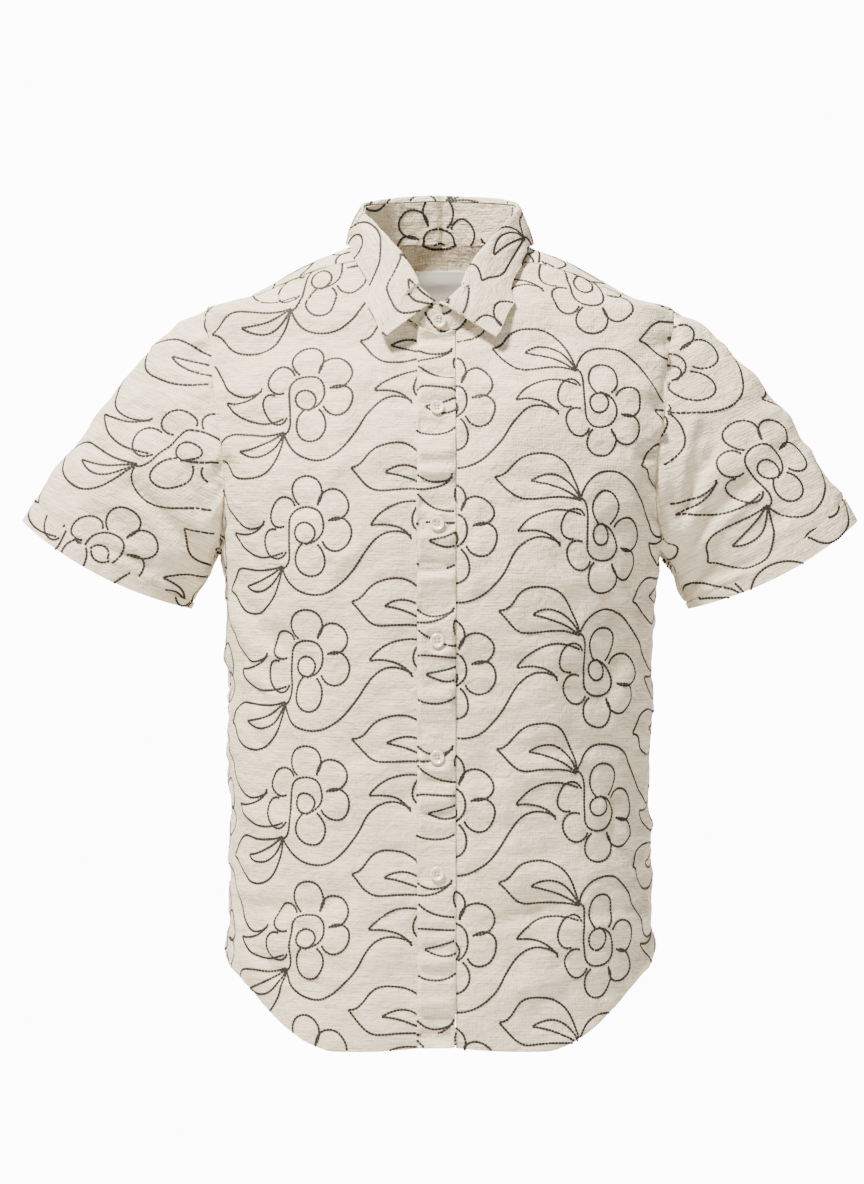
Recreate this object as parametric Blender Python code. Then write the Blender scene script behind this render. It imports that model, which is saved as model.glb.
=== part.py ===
"""Short-sleeved button-front shirt, hollow and filled out as if worn, with no wearer.

Metres, +Z up. The front faces -Y and the wearer's left is +X. The origin is the middle of
the neck at the height where the collar meets the shoulders. Sizes below are millimetres.
"""

import math

import bpy
import numpy as np

MM = 0.001

# Cloth and gaps
WALL = 1.3
BAND_WALL = 2.0
COLLAR_WALL = 1.6
SEAM_GAP = 0.4
SLEEVE_GAP = 0.8
LAYER_GAP = 0.4

# Driving heights, measured down from the neck point of the shoulder
NECK_FRONT_Z = -84.0
SHOULDER_TIP_Z = -57.0
ARMPIT_Z = -266.0
SIDE_HEM_Z = -628.0
LOW_HEM_Z = -695.0
CENTRE_HEM_Z = -690.0

# Front closing
PLACKET_LEFT = -19.5
PLACKET_RIGHT = 13.0
UNDERLAP_EDGE = 12.0
PLACKET_RISE = 0.8
UNDERLAP_GAP = 1.0
UNDERLAP_DROP = PLACKET_RISE - BAND_WALL - UNDERLAP_GAP
UNDERLAP_EASE = (21.0, 24.0)

# Buttons
BUTTON_COUNT = 5
BUTTON_TOP_Z = -149.0
BUTTON_PITCH = 98.7
BUTTON_RADIUS = 6.0
BUTTON_THICK = 2.4
BUTTON_X = -2.6
STAND_BUTTON_Z = -72.0

# Armhole, an upright oval seen from the side, fullest below its middle
ARMHOLE_FRONT_REACH = 53.0
ARMHOLE_BACK_REACH = 52.0
ARMHOLE_SKEW = 0.45
YOKE_FRONT_TURN = math.radians(16)
YOKE_BACK_TURN = math.radians(54)
YOKE_BACK_Z = -104.0
YOKE_NECK_ANGLE = math.radians(32)

# Sleeve
CUFF_OUTER = (367.0, -243.0)
CUFF_INNER = (219.0, -320.0)
CUFF_HALF_DEPTH = 40.0
CUFF_CROWN = 10.0
CUFF_POINTEDNESS = 1.15
CUFF_BAND = 26.0
CUFF_BAND_RISE = 0.5
SLEEVE_LENGTH = 245.0
SLEEVE_START_PULL = 130.0
SLEEVE_END_PULL = 190.0
FIRST_SLEEVE_SHARE = 0.04

# (x, z) of the way the sleeve leaves the armhole at mid height, and what is added at the
# shoulder and taken off at the armpit
SLEEVE_LEAVES = (0.665, -0.68)
SLEEVE_LEAVES_TOP = (0.285, 0.38)
SLEEVE_LEAVES_UNDER = (0.215, 0.21)

# Collar
STAND_FRONT = 25.0
STAND_BACK = 38.0
STAND_LEAN = math.radians(9)
STAND_LEAN_BY = 0.6
STAND_RISE_FROM = 0.1
STAND_ROUNDING = 5.0
COLLAR_LEFT_START_X = -2.0
COLLAR_RIGHT_START_X = -21.0
COLLAR_ROLL = 20.0
COLLAR_ROLL_FRONT_SHARE = 0.25
COLLAR_ROLL_FROM, COLLAR_ROLL_OVER = 0.45, 0.5
COLLAR_ROLL_OUT = 2.0
COLLAR_ROLL_OUT_BACK = (4.0, 8.0)
COLLAR_SLOPE = 0.5
COLLAR_TIP_SHARE = 0.2
COLLAR_FRONT_SHARE = 0.3
ROLL_GAP = 1.3
COLLAR_LIFT = 2.4
COLLAR_TIP_LIFT = 8.0

# Label inside the back neck
LABEL_HALF_WIDTH = 29.0
LABEL_TOP_Z = -17.0
LABEL_BOTTOM_Z = -58.0
LABEL_WALL = 0.9

# Search for a height on the shoulders
SHOULDER_LOW_Z = -124.0
HALVINGS = 40

# Steps for slopes worked out by differences: turn in radians, height
SMALL_TURN = 0.01
SMALL_RISE = 1.0

# How many faces each seam is cut into
HEM_TO_NECK = 5
HEM_TO_SHOULDER = 9
SIDE_ROWS = 13
ARMHOLE_FRONT_ROWS = 9
YOKE_ARMHOLE = 5
ARMHOLE_BACK_ROWS = 8
BACK_COLUMNS = 24
EDGE_REACH = 3
SLEEVE_ROWS = 9
STAND_ROWS = 3
LEAF_ROWS = 7
OVERLAP_COLUMNS = 3


def table(names, rows):
    """A small table with named columns."""
    return dict(zip(names.split(), np.array(rows, float).T))


# Level sections of the body: half width at the side, depth to front and back, squareness
BODY = table("z half_width front back square", [
    (-710, 189, 131, 122, 2.3),
    (-620, 187, 129, 118, 2.3),
    (-560, 184.5, 127, 114, 2.3),
    (-480, 184, 124, 112, 2.3),
    (-400, 186, 125, 117, 2.3),
    (-330, 188, 127, 122, 2.3),
    (-266, 193, 126, 124, 2.3),
    (-210, 205, 119, 120, 2.25),
    (-160, 215, 107, 112, 2.2),
    (-130, 219, 95, 105, 2.1),
    (-100, 217, 79, 98, 2.0),
    (-87, 215, 72, 94, 2.0),
    (-75, 212, 69, 90, 2.0),
    (-57, 207, 61, 84, 2.0),
    (-47, 171, 55, 81, 2.0),
    (-36, 150, 48, 77, 2.0),
    (-25, 132, 41, 72, 2.0),
    (-15, 112, 34, 69, 2.0),
    (-4, 84, 21, 65, 2.0),
    (0, 74, 15, 64, 2.0),
    (8, 67, 10, 62, 2.0),
])

# Neck seam: turn round the body from the centre front, and height
NECKLINE = table("degrees z", [
    (-4, -79),
    (0, NECK_FRONT_Z),
    (4, -79),
    (8, -67),
    (13, -48),
    (20, -30),
    (32, -15),
    (48, -6),
    (70, -1),
    (90, 2),
    (120, 4),
    (180, 6),
])

# Outer edge of the collar leaf where it lies on the body, from a collar point to the back
LEAF_EDGE = table("share degrees z", [
    (0.00, 12.6, -92),
    (0.14, 17, -62),
    (0.28, 25, -36),
    (0.40, 41, -16),
    (0.50, 66, -5),
    (0.60, 95, -3),
    (0.75, 132, -3),
    (1.00, 180, -3),
])

# Hem: share of the way from centre to side seam, and height
HEM = table("share z", [
    (0.00, CENTRE_HEM_Z),
    (0.15, -694),
    (0.28, LOW_HEM_Z),
    (0.37, -689),
    (0.46, -677),
    (0.56, -661),
    (0.66, -646),
    (0.80, -634),
    (1.00, SIDE_HEM_Z),
])

# Largest folds: ends as seen from the front (x, z), half width across, depth (minus is a
# trough), and which face they are on (-1 front, 1 back, 0 both)
FOLDS = table("x1 z1 x2 z2 spread depth face", [
    (150, -572, 60, -580, 14, -2.5, -1),
    (172, -590, 90, -604, 16, 2.0, -1),
    (-170, -575, -80, -566, 13, -2.2, -1),
    (-150, -600, -60, -622, 15, 2.0, -1),
    (176, -300, 120, -420, 18, -2.4, -1),
    (-176, -300, -128, -400, 18, -2.2, -1),
    (120, -200, 176, -150, 12, -1.6, -1),
    (-120, -196, -174, -152, 12, -1.6, -1),
    (214, -268, 268, -214, 11, -5.0, -1),
    (228, -292, 300, -240, 12, -3.2, -1),
    (204, -226, 238, -170, 12, -3.5, -1),
    (-214, -268, -262, -206, 11, -5.0, -1),
    (-230, -290, -304, -236, 12, -3.4, -1),
    (-205, -220, -232, -160, 12, -3.6, -1),
    (70, -130, 40, -560, 26, 2.4, 1),
    (-76, -150, -52, -600, 26, 2.6, 1),
    (150, -300, 96, -500, 22, -3.0, 1),
    (-154, -310, -104, -470, 22, -2.8, 1),
    (120, -560, -110, -548, 16, -2.6, 1),
    (214, -262, 272, -206, 13, -4.2, 1),
    (-216, -258, -268, -204, 13, -4.4, 1),
])


def smooth(at, xs, ys):
    """A curve through the points with no overshoot between them."""
    at = np.clip(np.asarray(at, float), xs[0], xs[-1])
    step = np.diff(xs)
    rise = np.diff(ys) / step
    same = rise[:-1] * rise[1:] > 0
    weight_a, weight_b = 2 * step[1:] + step[:-1], step[1:] + 2 * step[:-1]
    inner = np.where(
        same,
        (weight_a + weight_b)
        / (weight_a / np.where(same, rise[:-1], 1) + weight_b / np.where(same, rise[1:], 1)),
        0.0,
    )
    slope = np.concatenate([[rise[0]], inner, [rise[-1]]])
    i = np.clip(np.searchsorted(xs, at, side="right") - 1, 0, len(step) - 1)
    t = (at - xs[i]) / step[i]
    return (
        ys[i] * (1 + 2 * t) * (1 - t) ** 2
        + slope[i] * step[i] * t * (1 - t) ** 2
        + ys[i + 1] * t * t * (3 - 2 * t)
        + slope[i + 1] * step[i] * t * t * (t - 1)
    )


def ease(t):
    t = np.clip(t, 0, 1)
    return t * t * (3 - 2 * t)


def section(z, name):
    return smooth(z, BODY["z"], BODY[name])


def body_point(angle, z):
    """Outer face of the cloth at a turn round the body: 0 centre front, a quarter turn the left side."""
    angle, z = np.broadcast_arrays(np.asarray(angle, float), np.asarray(z, float))
    power = 2 / section(z, "square")
    across, along = np.sin(angle), np.cos(angle)
    depth = np.where(along > 0, section(z, "front"), section(z, "back"))
    x = section(z, "half_width") * np.sign(across) * np.abs(across) ** power
    y = -depth * np.sign(along) * np.abs(along) ** power
    return np.stack([x, y, z], axis=-1)


def angle_at_x(x, z):
    """Turn round the front of the body at which the cloth has this x."""
    share = np.clip(np.abs(x) / section(z, "half_width"), 0, 1)
    return np.sign(x) * np.arcsin(share ** (section(z, "square") / 2))


def angle_at_y(y, z):
    """Turn round the body's left half at which the cloth has this y."""
    depth = np.where(np.asarray(y) < 0, section(z, "front"), section(z, "back"))
    share = np.clip(np.abs(y) / depth, 0, 1) ** (section(z, "square") / 2)
    return np.where(np.asarray(y) < 0, np.arccos(share), np.pi - np.arccos(share))


def body_out(angle, z):
    """Unit vector out of the cloth there."""
    round_it = body_point(angle + SMALL_TURN, z) - body_point(angle - SMALL_TURN, z)
    up_it = body_point(angle, z + SMALL_RISE) - body_point(angle, z - SMALL_RISE)
    out = np.cross(round_it, up_it)
    return out / np.maximum(np.linalg.norm(out, axis=-1, keepdims=True), 1e-9)


def neck_height(angle):
    return smooth(np.degrees(np.abs(angle)), NECKLINE["degrees"], NECKLINE["z"])


def hem_height(share):
    return smooth(share, HEM["share"], HEM["z"])


def armhole(turn):
    """(angle, z) on the body of the armhole seam. Turn is 0 at the shoulder, a half turn at the
    armpit, and minus to the front."""
    middle, radius = (SHOULDER_TIP_Z + ARMPIT_Z) / 2, (SHOULDER_TIP_Z - ARMPIT_Z) / 2
    z = middle + radius * np.cos(turn)
    reach = np.where(turn < 0, ARMHOLE_FRONT_REACH, ARMHOLE_BACK_REACH)
    return angle_at_y(reach * np.sin(turn) * (1 - ARMHOLE_SKEW * np.cos(turn)), z), z


def armhole_front():
    """Armhole turns from the armpit up to the yoke's front seam."""
    return np.linspace(-math.pi, -YOKE_FRONT_TURN, ARMHOLE_FRONT_ROWS + 1)


def armhole_yoke():
    return np.linspace(-YOKE_FRONT_TURN, YOKE_BACK_TURN, YOKE_ARMHOLE + 1)


def armhole_back():
    """Armhole turns from the armpit up to the yoke's back seam."""
    return np.linspace(math.pi, YOKE_BACK_TURN, ARMHOLE_BACK_ROWS + 1)


def on_shoulders(x, y):
    """(angle, z) of the cloth above this level place, found by halving the height."""
    low, high = np.full(x.shape, SHOULDER_LOW_Z), np.full(x.shape, BODY["z"][-1])
    for _ in range(HALVINGS):
        z = (low + high) / 2
        depth = np.where(y < 0, section(z, "front"), section(z, "back"))
        square = section(z, "square")
        inside = np.abs(x / section(z, "half_width")) ** square + np.abs(y / depth) ** square < 1
        low, high = np.where(inside, z, low), np.where(inside, high, z)
    across = np.abs(x / section(z, "half_width")) ** (square / 2) * np.sign(x)
    along = np.abs(y / depth) ** (square / 2) * -np.sign(y)
    return np.arctan2(across, along) % (2 * math.pi), z


def shoulder_seam():
    """(angle, z) along the yoke's front seam, from the neck to the armhole, straight seen from above."""
    neck = body_point(YOKE_NECK_ANGLE, neck_height(YOKE_NECK_ANGLE))
    tip = body_point(*armhole(np.array(-YOKE_FRONT_TURN)))
    level = neck + (tip - neck) * np.linspace(0, 1, HEM_TO_SHOULDER + 1)[:, None]
    angle, z = on_shoulders(level[:, 0], level[:, 1])
    z[0], z[-1] = neck[2], tip[2]
    return angle, z


def back_seam():
    """(angle, z) along the yoke's back seam, from the left armhole to the right one."""
    t = np.linspace(-1, 1, BACK_COLUMNS + 1)
    end_angle, end_z = armhole(np.array(YOKE_BACK_TURN))
    return math.pi + (math.pi - end_angle) * t, YOKE_BACK_Z + (end_z - YOKE_BACK_Z) * t * t


def coons(left, right, bottom, top, reach=1):
    """Fills a four-sided outline of point pairs. Rows run from bottom to top, and a higher reach keeps
    the shape of the bottom and top edges nearer to them."""
    left, right, bottom, top = (np.stack(side, axis=-1) for side in (left, right, bottom, top))
    up = np.linspace(0, 1, len(left))[:, None, None]
    over = np.linspace(0, 1, len(bottom))[None, :, None]
    low_bend, high_bend = (end - (end[0] * (1 - over) + end[-1] * over) for end in (bottom, top))
    filled = left[:, None] * (1 - over) + right[:, None] * over
    filled = filled + low_bend * (1 - up) ** reach + high_bend * up**reach
    return filled[..., 0], filled[..., 1]


def grid_out(points, closed=False):
    """Unit vectors out of a grid whose rows run up and whose columns run to the left round the body."""
    if closed:
        over = np.roll(points, -1, axis=1) - np.roll(points, 1, axis=1)
    else:
        over = np.gradient(points, axis=1)
    out = np.cross(over, np.gradient(points, axis=0))
    return out / np.maximum(np.linalg.norm(out, axis=-1, keepdims=True), 1e-9)


def folded(points, out):
    """The points moved along out by the folds that pass them."""
    depth = np.zeros(points.shape[:-1])
    for i in range(len(FOLDS["x1"])):
        start = np.array([FOLDS["x1"][i], FOLDS["z1"][i]])
        run = np.array([FOLDS["x2"][i], FOLDS["z2"][i]]) - start
        flat = points[..., [0, 2]] - start
        along = np.clip(flat @ run / (run @ run), 0, 1)
        away = np.linalg.norm(flat - along[..., None] * run, axis=-1)
        face = FOLDS["face"][i]
        share = np.clip(0.5 + 2.0 * face * out[..., 1], 0, 1) if face else 1.0
        depth += FOLDS["depth"][i] * share * np.exp(-((away / FOLDS["spread"][i]) ** 2))
    return points + out * depth[..., None]


def fade_at_edges(points, moved, rows=2.0, closed=False):
    """Keeps the outline of a grid where it was, so that its seams still meet."""
    high, wide = points.shape[:2]
    up = np.minimum(np.arange(high), np.arange(high)[::-1])[:, None]
    over = np.full((1, wide), high) if closed else np.minimum(np.arange(wide), np.arange(wide)[::-1])[None]
    share = ease(np.minimum(up, over) / rows)[..., None]
    return points + (moved - points) * share


def trimmed(points, gap=SEAM_GAP, closed=False):
    """The grid with its outline drawn in by half a seam gap."""
    points = points.copy()

    def draw_in(edge, inner):
        along = np.gradient(edge, axis=0)
        along /= np.maximum(np.linalg.norm(along, axis=-1, keepdims=True), 1e-9)
        run = inner - edge
        run = run - (run * along).sum(axis=-1, keepdims=True) * along
        return edge + run * (gap / 2 / np.maximum(np.linalg.norm(run, axis=-1, keepdims=True), 1e-9))

    points[0], points[-1] = draw_in(points[0], points[1]), draw_in(points[-1], points[-2])
    if not closed:
        points[:, 0] = draw_in(points[:, 0], points[:, 1])
        points[:, -1] = draw_in(points[:, -1], points[:, -2])
    return points


def shell(name, points, material, wall=WALL, closed=False, out=None):
    """A closed wall of cloth under a grid of outer points."""
    high, wide = points.shape[:2]
    inner = points - wall * (grid_out(points, closed) if out is None else out)
    corner = np.arange(high * wide).reshape(high, wide)
    below = corner + high * wide
    faces = []
    for row in range(high - 1):
        for column in range(wide if closed else wide - 1):
            beside = (column + 1) % wide
            quad = (row, column), (row, beside), (row + 1, beside), (row + 1, column)
            faces.append([corner[q] for q in quad])
            faces.append([below[q] for q in quad[::-1]])
    for row, turn in ((0, 1), (high - 1, -1)):
        for column in range(wide if closed else wide - 1):
            beside = (column + 1) % wide
            rim = [below[row, column], below[row, beside], corner[row, beside], corner[row, column]]
            faces.append(rim[::turn])
    if not closed:
        for column, turn in ((0, -1), (wide - 1, 1)):
            for row in range(high - 1):
                above = row + 1
                rim = [below[row, column], below[above, column], corner[above, column], corner[row, column]]
                faces.append(rim[::turn])
    both = np.concatenate([points.reshape(-1, 3), inner.reshape(-1, 3)])
    return add_object(name, both, faces, material)


def add_object(name, points, faces, material):
    mesh = bpy.data.meshes.new(name)
    mesh.from_pydata((np.asarray(points) * MM).tolist(), [], [list(map(int, face)) for face in faces])
    mesh.validate()
    mesh.shade_smooth()
    mesh.set_sharp_from_angle(angle=math.radians(50))
    mesh.materials.append(material)
    obj = bpy.data.objects.new(name, mesh)
    bpy.context.scene.collection.objects.link(obj)
    split = obj.modifiers.new("split", "TRIANGULATE")
    split.quad_method = "SHORTEST_DIAGONAL"
    return obj


def make_material(name, colour, roughness):
    material = bpy.data.materials.new(name)
    material.use_nodes = True
    surface = material.node_tree.nodes["Principled BSDF"]
    surface.inputs["Base Color"].default_value = (*colour, 1)
    surface.inputs["Roughness"].default_value = roughness
    surface.inputs["Metallic"].default_value = 0
    material.diffuse_color = (*colour, 1)
    return material


def mirrored(points):
    """The same grid on the wearer's other side, with its columns turned round to face out again."""
    return (points * [-1, 1, 1])[:, ::-1]


def ring_mitre():
    """Directions that halve the angle between body and sleeve, round the left armhole."""
    sleeve_out = grid_out(sleeve_grid([0.0, FIRST_SLEEVE_SHARE]), closed=True)[-1]
    turn, _ = sleeve_ring()
    mitre = sleeve_out + body_out(*armhole(turn))
    mitre /= np.linalg.norm(mitre, axis=-1, keepdims=True)
    return np.concatenate([mitre, mitre[:1]])


def placket_x():
    """Where the placket's columns lie, from its free edge to its seam."""
    return np.concatenate([
        np.linspace(PLACKET_LEFT, COLLAR_LEFT_START_X, OVERLAP_COLUMNS + 1)[:-1],
        np.linspace(COLLAR_LEFT_START_X, PLACKET_RIGHT + SEAM_GAP / 2, 3),
    ])


def underlap_x():
    """Where the right front's columns below the placket lie, mirrored, from its edge outward."""
    return np.linspace(-UNDERLAP_EDGE, -COLLAR_RIGHT_START_X, OVERLAP_COLUMNS + 1)


def front_neck_angles(first_x):
    """Turns of a front's neck seam, through these x to the corner of the yoke."""
    first = angle_at_x(first_x, NECK_FRONT_Z)
    return np.concatenate([first[:-1], np.linspace(first[-1], YOKE_NECK_ANGLE, HEM_TO_NECK + 1)])


def front_grid(first_x):
    """Outer points of a front on the left side, from its first x by the centre to the side seam."""
    edge_x = first_x[0]
    rows = SIDE_ROWS + ARMHOLE_FRONT_ROWS
    arm_angle, arm_z = armhole(armhole_front())
    side_z = np.linspace(SIDE_HEM_Z, ARMPIT_Z, SIDE_ROWS + 1)
    right = (
        np.concatenate([np.full(SIDE_ROWS, math.pi / 2), arm_angle]),
        np.concatenate([side_z[:-1], arm_z]),
    )
    neck_angle = front_neck_angles(first_x)
    seam_angle, seam_z = shoulder_seam()
    top = (
        np.concatenate([neck_angle[:-1], seam_angle]),
        np.concatenate([neck_height(neck_angle[:-1]), seam_z]),
    )
    left_z = np.linspace(CENTRE_HEM_Z, top[1][0], rows + 1)
    left = (angle_at_x(edge_x, left_z), left_z)
    hem_angle = np.linspace(left[0][0], math.pi / 2, len(top[0]))
    bottom = (hem_angle, hem_height(np.clip(hem_angle / (math.pi / 2), 0, 1)))
    left[1][0] = bottom[1][0]
    angle, z = coons(left, right, bottom, top, EDGE_REACH)
    out = body_out(angle, z)
    out[SIDE_ROWS:, -1] = ring_mitre()[: ARMHOLE_FRONT_ROWS + 1]
    return body_point(angle, z), out


def beside_placket(distance):
    """One below the placket, easing to nothing beside it."""
    start, length = UNDERLAP_EASE
    return 1 - ease((distance - start) / length)


def underlap(points, out):
    """Sinks the right front below the placket, easing back to the body's face beside it."""
    return points + out * (UNDERLAP_DROP * beside_placket(points[..., 0]))[..., None]


def make_fronts(cloth):
    points, out = front_grid(placket_x()[-1:])
    shell("front_left", trimmed(fade_at_edges(points, folded(points, out))), cloth, out=out)
    points, out = front_grid(underlap_x())
    points = underlap(points, out)
    right = mirrored(points)
    right_out = mirrored(out)
    shell("front_right", trimmed(fade_at_edges(right, folded(right, right_out))), cloth, out=right_out)


def make_placket(cloth):
    """The strip down the centre front that carries the buttonholes."""
    rows = SIDE_ROWS + ARMHOLE_FRONT_ROWS
    x = placket_x()
    x[-1] -= SEAM_GAP
    t = np.linspace(0, 1, rows + 1)[:, None]
    top = neck_height(angle_at_x(x, NECK_FRONT_Z))
    z = CENTRE_HEM_Z + (top - CENTRE_HEM_Z) * t
    angle = angle_at_x(x[None], z)
    out = body_out(angle, z)
    shell("placket", trimmed(body_point(angle, z) + out * PLACKET_RISE), cloth, BAND_WALL, out=out)


def make_back(cloth):
    arm_angle, arm_z = armhole(armhole_back())
    side_z = np.linspace(SIDE_HEM_Z, ARMPIT_Z, SIDE_ROWS + 1)
    left_angle = np.concatenate([np.full(SIDE_ROWS, math.pi / 2), arm_angle])
    left_z = np.concatenate([side_z[:-1], arm_z])
    hem_angle = np.linspace(math.pi / 2, 3 * math.pi / 2, BACK_COLUMNS + 1)
    hem = hem_height(np.abs(hem_angle - math.pi) / (math.pi / 2))
    angle, z = coons(
        (left_angle, left_z), (2 * math.pi - left_angle, left_z), (hem_angle, hem), back_seam(), EDGE_REACH
    )
    points, out = body_point(angle, z), body_out(angle, z)
    arm_out = ring_mitre()[-ARMHOLE_BACK_ROWS - 1 :][::-1]
    out[SIDE_ROWS:, 0] = arm_out
    out[SIDE_ROWS:, -1] = arm_out * [-1, 1, 1]
    shell("back", trimmed(fade_at_edges(points, folded(points, out))), cloth, out=out)


def yoke_neck():
    """Turns of the neck seam along the yoke, from its left front corner round the back."""
    count = 2 * YOKE_ARMHOLE + BACK_COLUMNS
    return np.linspace(YOKE_NECK_ANGLE, 2 * math.pi - YOKE_NECK_ANGLE, count + 1)


def neck_round(angle):
    """Neck height for turns from 0 to a full circle."""
    return neck_height(math.pi - np.abs(math.pi - angle))


def make_yoke(cloth):
    arm_angle, arm_z = armhole(armhole_yoke())
    seam_angle, seam_z = back_seam()
    outer = (
        np.concatenate([arm_angle[:-1], seam_angle, (2 * math.pi - arm_angle[::-1])[1:]]),
        np.concatenate([arm_z[:-1], seam_z, arm_z[::-1][1:]]),
    )
    front_angle, front_z = shoulder_seam()
    left = (front_angle[::-1], front_z[::-1])
    right = (2 * math.pi - front_angle[::-1], front_z[::-1])
    sides = (left, right, outer, (yoke_neck(), neck_round(yoke_neck())))
    angle, z = on_shoulders(*coons(*((p[:, 0], p[:, 1]) for p in (body_point(*side) for side in sides))))
    out = body_out(angle, z)
    arm_out = ring_mitre()[ARMHOLE_FRONT_ROWS : ARMHOLE_FRONT_ROWS + YOKE_ARMHOLE + 1]
    out[0, : YOKE_ARMHOLE + 1] = arm_out
    out[0, -YOKE_ARMHOLE - 1 :] = arm_out[::-1] * [-1, 1, 1]
    shell("yoke", trimmed(body_point(angle, z)), cloth, out=out)


def sleeve_ring():
    """The armhole as a ring of body points, from the armpit up the front, over and down the back."""
    turn = np.concatenate([armhole_front()[:-1], armhole_yoke()[:-1], armhole_back()[::-1][:-1]])
    return turn, body_point(*armhole(turn))


def cuff_ring(turn, ring):
    """The cuff edge: a narrow oval with its sharper ends at the top and under the arm."""
    closed_ring = np.concatenate([ring, ring[:1]])
    length = np.concatenate([[0], np.cumsum(np.linalg.norm(np.diff(closed_ring, axis=0), axis=1))])
    top = int(np.argmin(np.abs(turn)))
    around = np.where(
        np.arange(len(ring)) <= top,
        -math.pi + math.pi * length[:-1] / length[top],
        math.pi * (length[:-1] - length[top]) / (length[-1] - length[top]),
    )
    outer, inner = np.array(CUFF_OUTER), np.array(CUFF_INNER)
    middle, reach = (outer + inner) / 2, (outer - inner) / 2
    down = np.array([-reach[1], reach[0]]) / np.linalg.norm(reach)
    crown = CUFF_CROWN * np.sin(around)[:, None] ** 2
    flat = middle + reach * np.cos(around)[:, None] - down * crown
    depth = CUFF_HALF_DEPTH * np.sign(around) * np.abs(np.sin(around)) ** CUFF_POINTEDNESS
    return np.stack([flat[:, 0], depth, flat[:, 1]], axis=-1)


def sleeve_grid(shares):
    """Outer points of the left sleeve at these shares of its length; rows run from cuff to armhole."""
    turn, ring = sleeve_ring()
    cuff = cuff_ring(turn, ring)
    rise = np.cos(turn)[:, None]
    seen = SLEEVE_LEAVES + np.where(rise > 0, SLEEVE_LEAVES_TOP, SLEEVE_LEAVES_UNDER) * rise
    leaving = np.stack([seen[:, 0], np.zeros(len(ring)), seen[:, 1]], axis=1)
    leaving *= SLEEVE_START_PULL / np.linalg.norm(leaving, axis=1, keepdims=True)
    edge = np.array(CUFF_OUTER) - np.array(CUFF_INNER)
    arriving = np.array([-edge[1], 0, edge[0]]) * [-1, 0, -1]
    arriving *= SLEEVE_END_PULL / np.linalg.norm(arriving)
    length = np.linalg.norm(cuff - ring, axis=1, keepdims=True) / SLEEVE_LENGTH
    t = np.asarray(shares, float)[:, None, None]
    points = (
        ring * (1 + 2 * t) * (1 - t) ** 2
        + leaving * length * t * (1 - t) ** 2
        + cuff * t * t * (3 - 2 * t)
        + arriving * length * t * t * (t - 1)
    )
    return points[::-1]


def make_sleeves(cloth):
    band_start = 1 - CUFF_BAND / SLEEVE_LENGTH
    body_shares = np.linspace(0, band_start, SLEEVE_ROWS + 1)
    band_shares = np.linspace(band_start, 1, 3)
    for name, shares, wall, rise in (
        ("sleeve", body_shares, WALL, 0.0),
        ("cuff_band", band_shares, BAND_WALL, CUFF_BAND_RISE),
    ):
        points = sleeve_grid(shares)
        out = grid_out(points, closed=True)
        if name == "sleeve":
            points = fade_at_edges(points, folded(points, out), closed=True)
            out[-1] = ring_mitre()[:-1]
        points = trimmed(points + out * rise, SLEEVE_GAP, closed=True)
        shell(name + "_left", points, cloth, wall, closed=True, out=out)
        shell(name + "_right", mirrored(points), cloth, wall, closed=True, out=mirrored(out))


def neck_frame(angle):
    """(seam points, outward level directions, directions up the stand) along the neck seam."""
    points = body_point(angle, neck_round(np.abs(angle)))
    after, before = angle + SMALL_TURN, angle - SMALL_TURN
    run = body_point(after, neck_round(np.abs(after))) - body_point(before, neck_round(np.abs(before)))
    run /= np.linalg.norm(run, axis=-1, keepdims=True)
    radial = points * [1, 1, 0]
    radial /= np.linalg.norm(radial, axis=-1, keepdims=True)
    rise = np.cross(radial, run)
    rise /= np.linalg.norm(rise, axis=-1, keepdims=True)
    rise *= np.sign(rise[..., 2:3])
    return points, radial, rise


def stand_angles():
    """Turns along the stand, from its end over the placket, round the back to its end below it."""
    return np.concatenate([
        angle_at_x(placket_x(), NECK_FRONT_Z)[:-1],
        front_neck_angles(placket_x()[-1:])[:-1],
        yoke_neck()[:-1],
        2 * math.pi - front_neck_angles(underlap_x())[::-1],
    ])


def stand_grid(rows):
    """Outer points of the stand, rows from the seam to its top edge, and its level and upward directions."""
    angles = stand_angles()
    wrapped = np.where(angles > math.pi, angles - 2 * math.pi, angles)
    points, radial, rise = neck_frame(wrapped)
    back = ease((np.abs(wrapped) - STAND_RISE_FROM) / (math.pi - STAND_RISE_FROM))[:, None]
    height = STAND_FRONT + (STAND_BACK - STAND_FRONT) * back
    lean = STAND_LEAN * ease(np.abs(wrapped)[:, None] / STAND_LEAN_BY)
    over = PLACKET_RISE * beside_placket(points[:, 0]) * (angles < math.pi)
    under = UNDERLAP_DROP * beside_placket(-points[:, 0]) * (angles > math.pi)
    points = points + radial * (over + under)[:, None]
    t = np.linspace(0, 1, rows + 1)[:, None, None]
    up = rise * np.cos(lean) - radial * np.sin(lean)
    return points + up * height * t, radial, up


def make_stand(cloth):
    points, _, up = stand_grid(STAND_ROWS)
    for end in (0, -1):
        points[-1, end] -= up[end] * STAND_ROUNDING
    shell("collar_stand", trimmed(points, 2 * SEAM_GAP), cloth, COLLAR_WALL)


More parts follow.
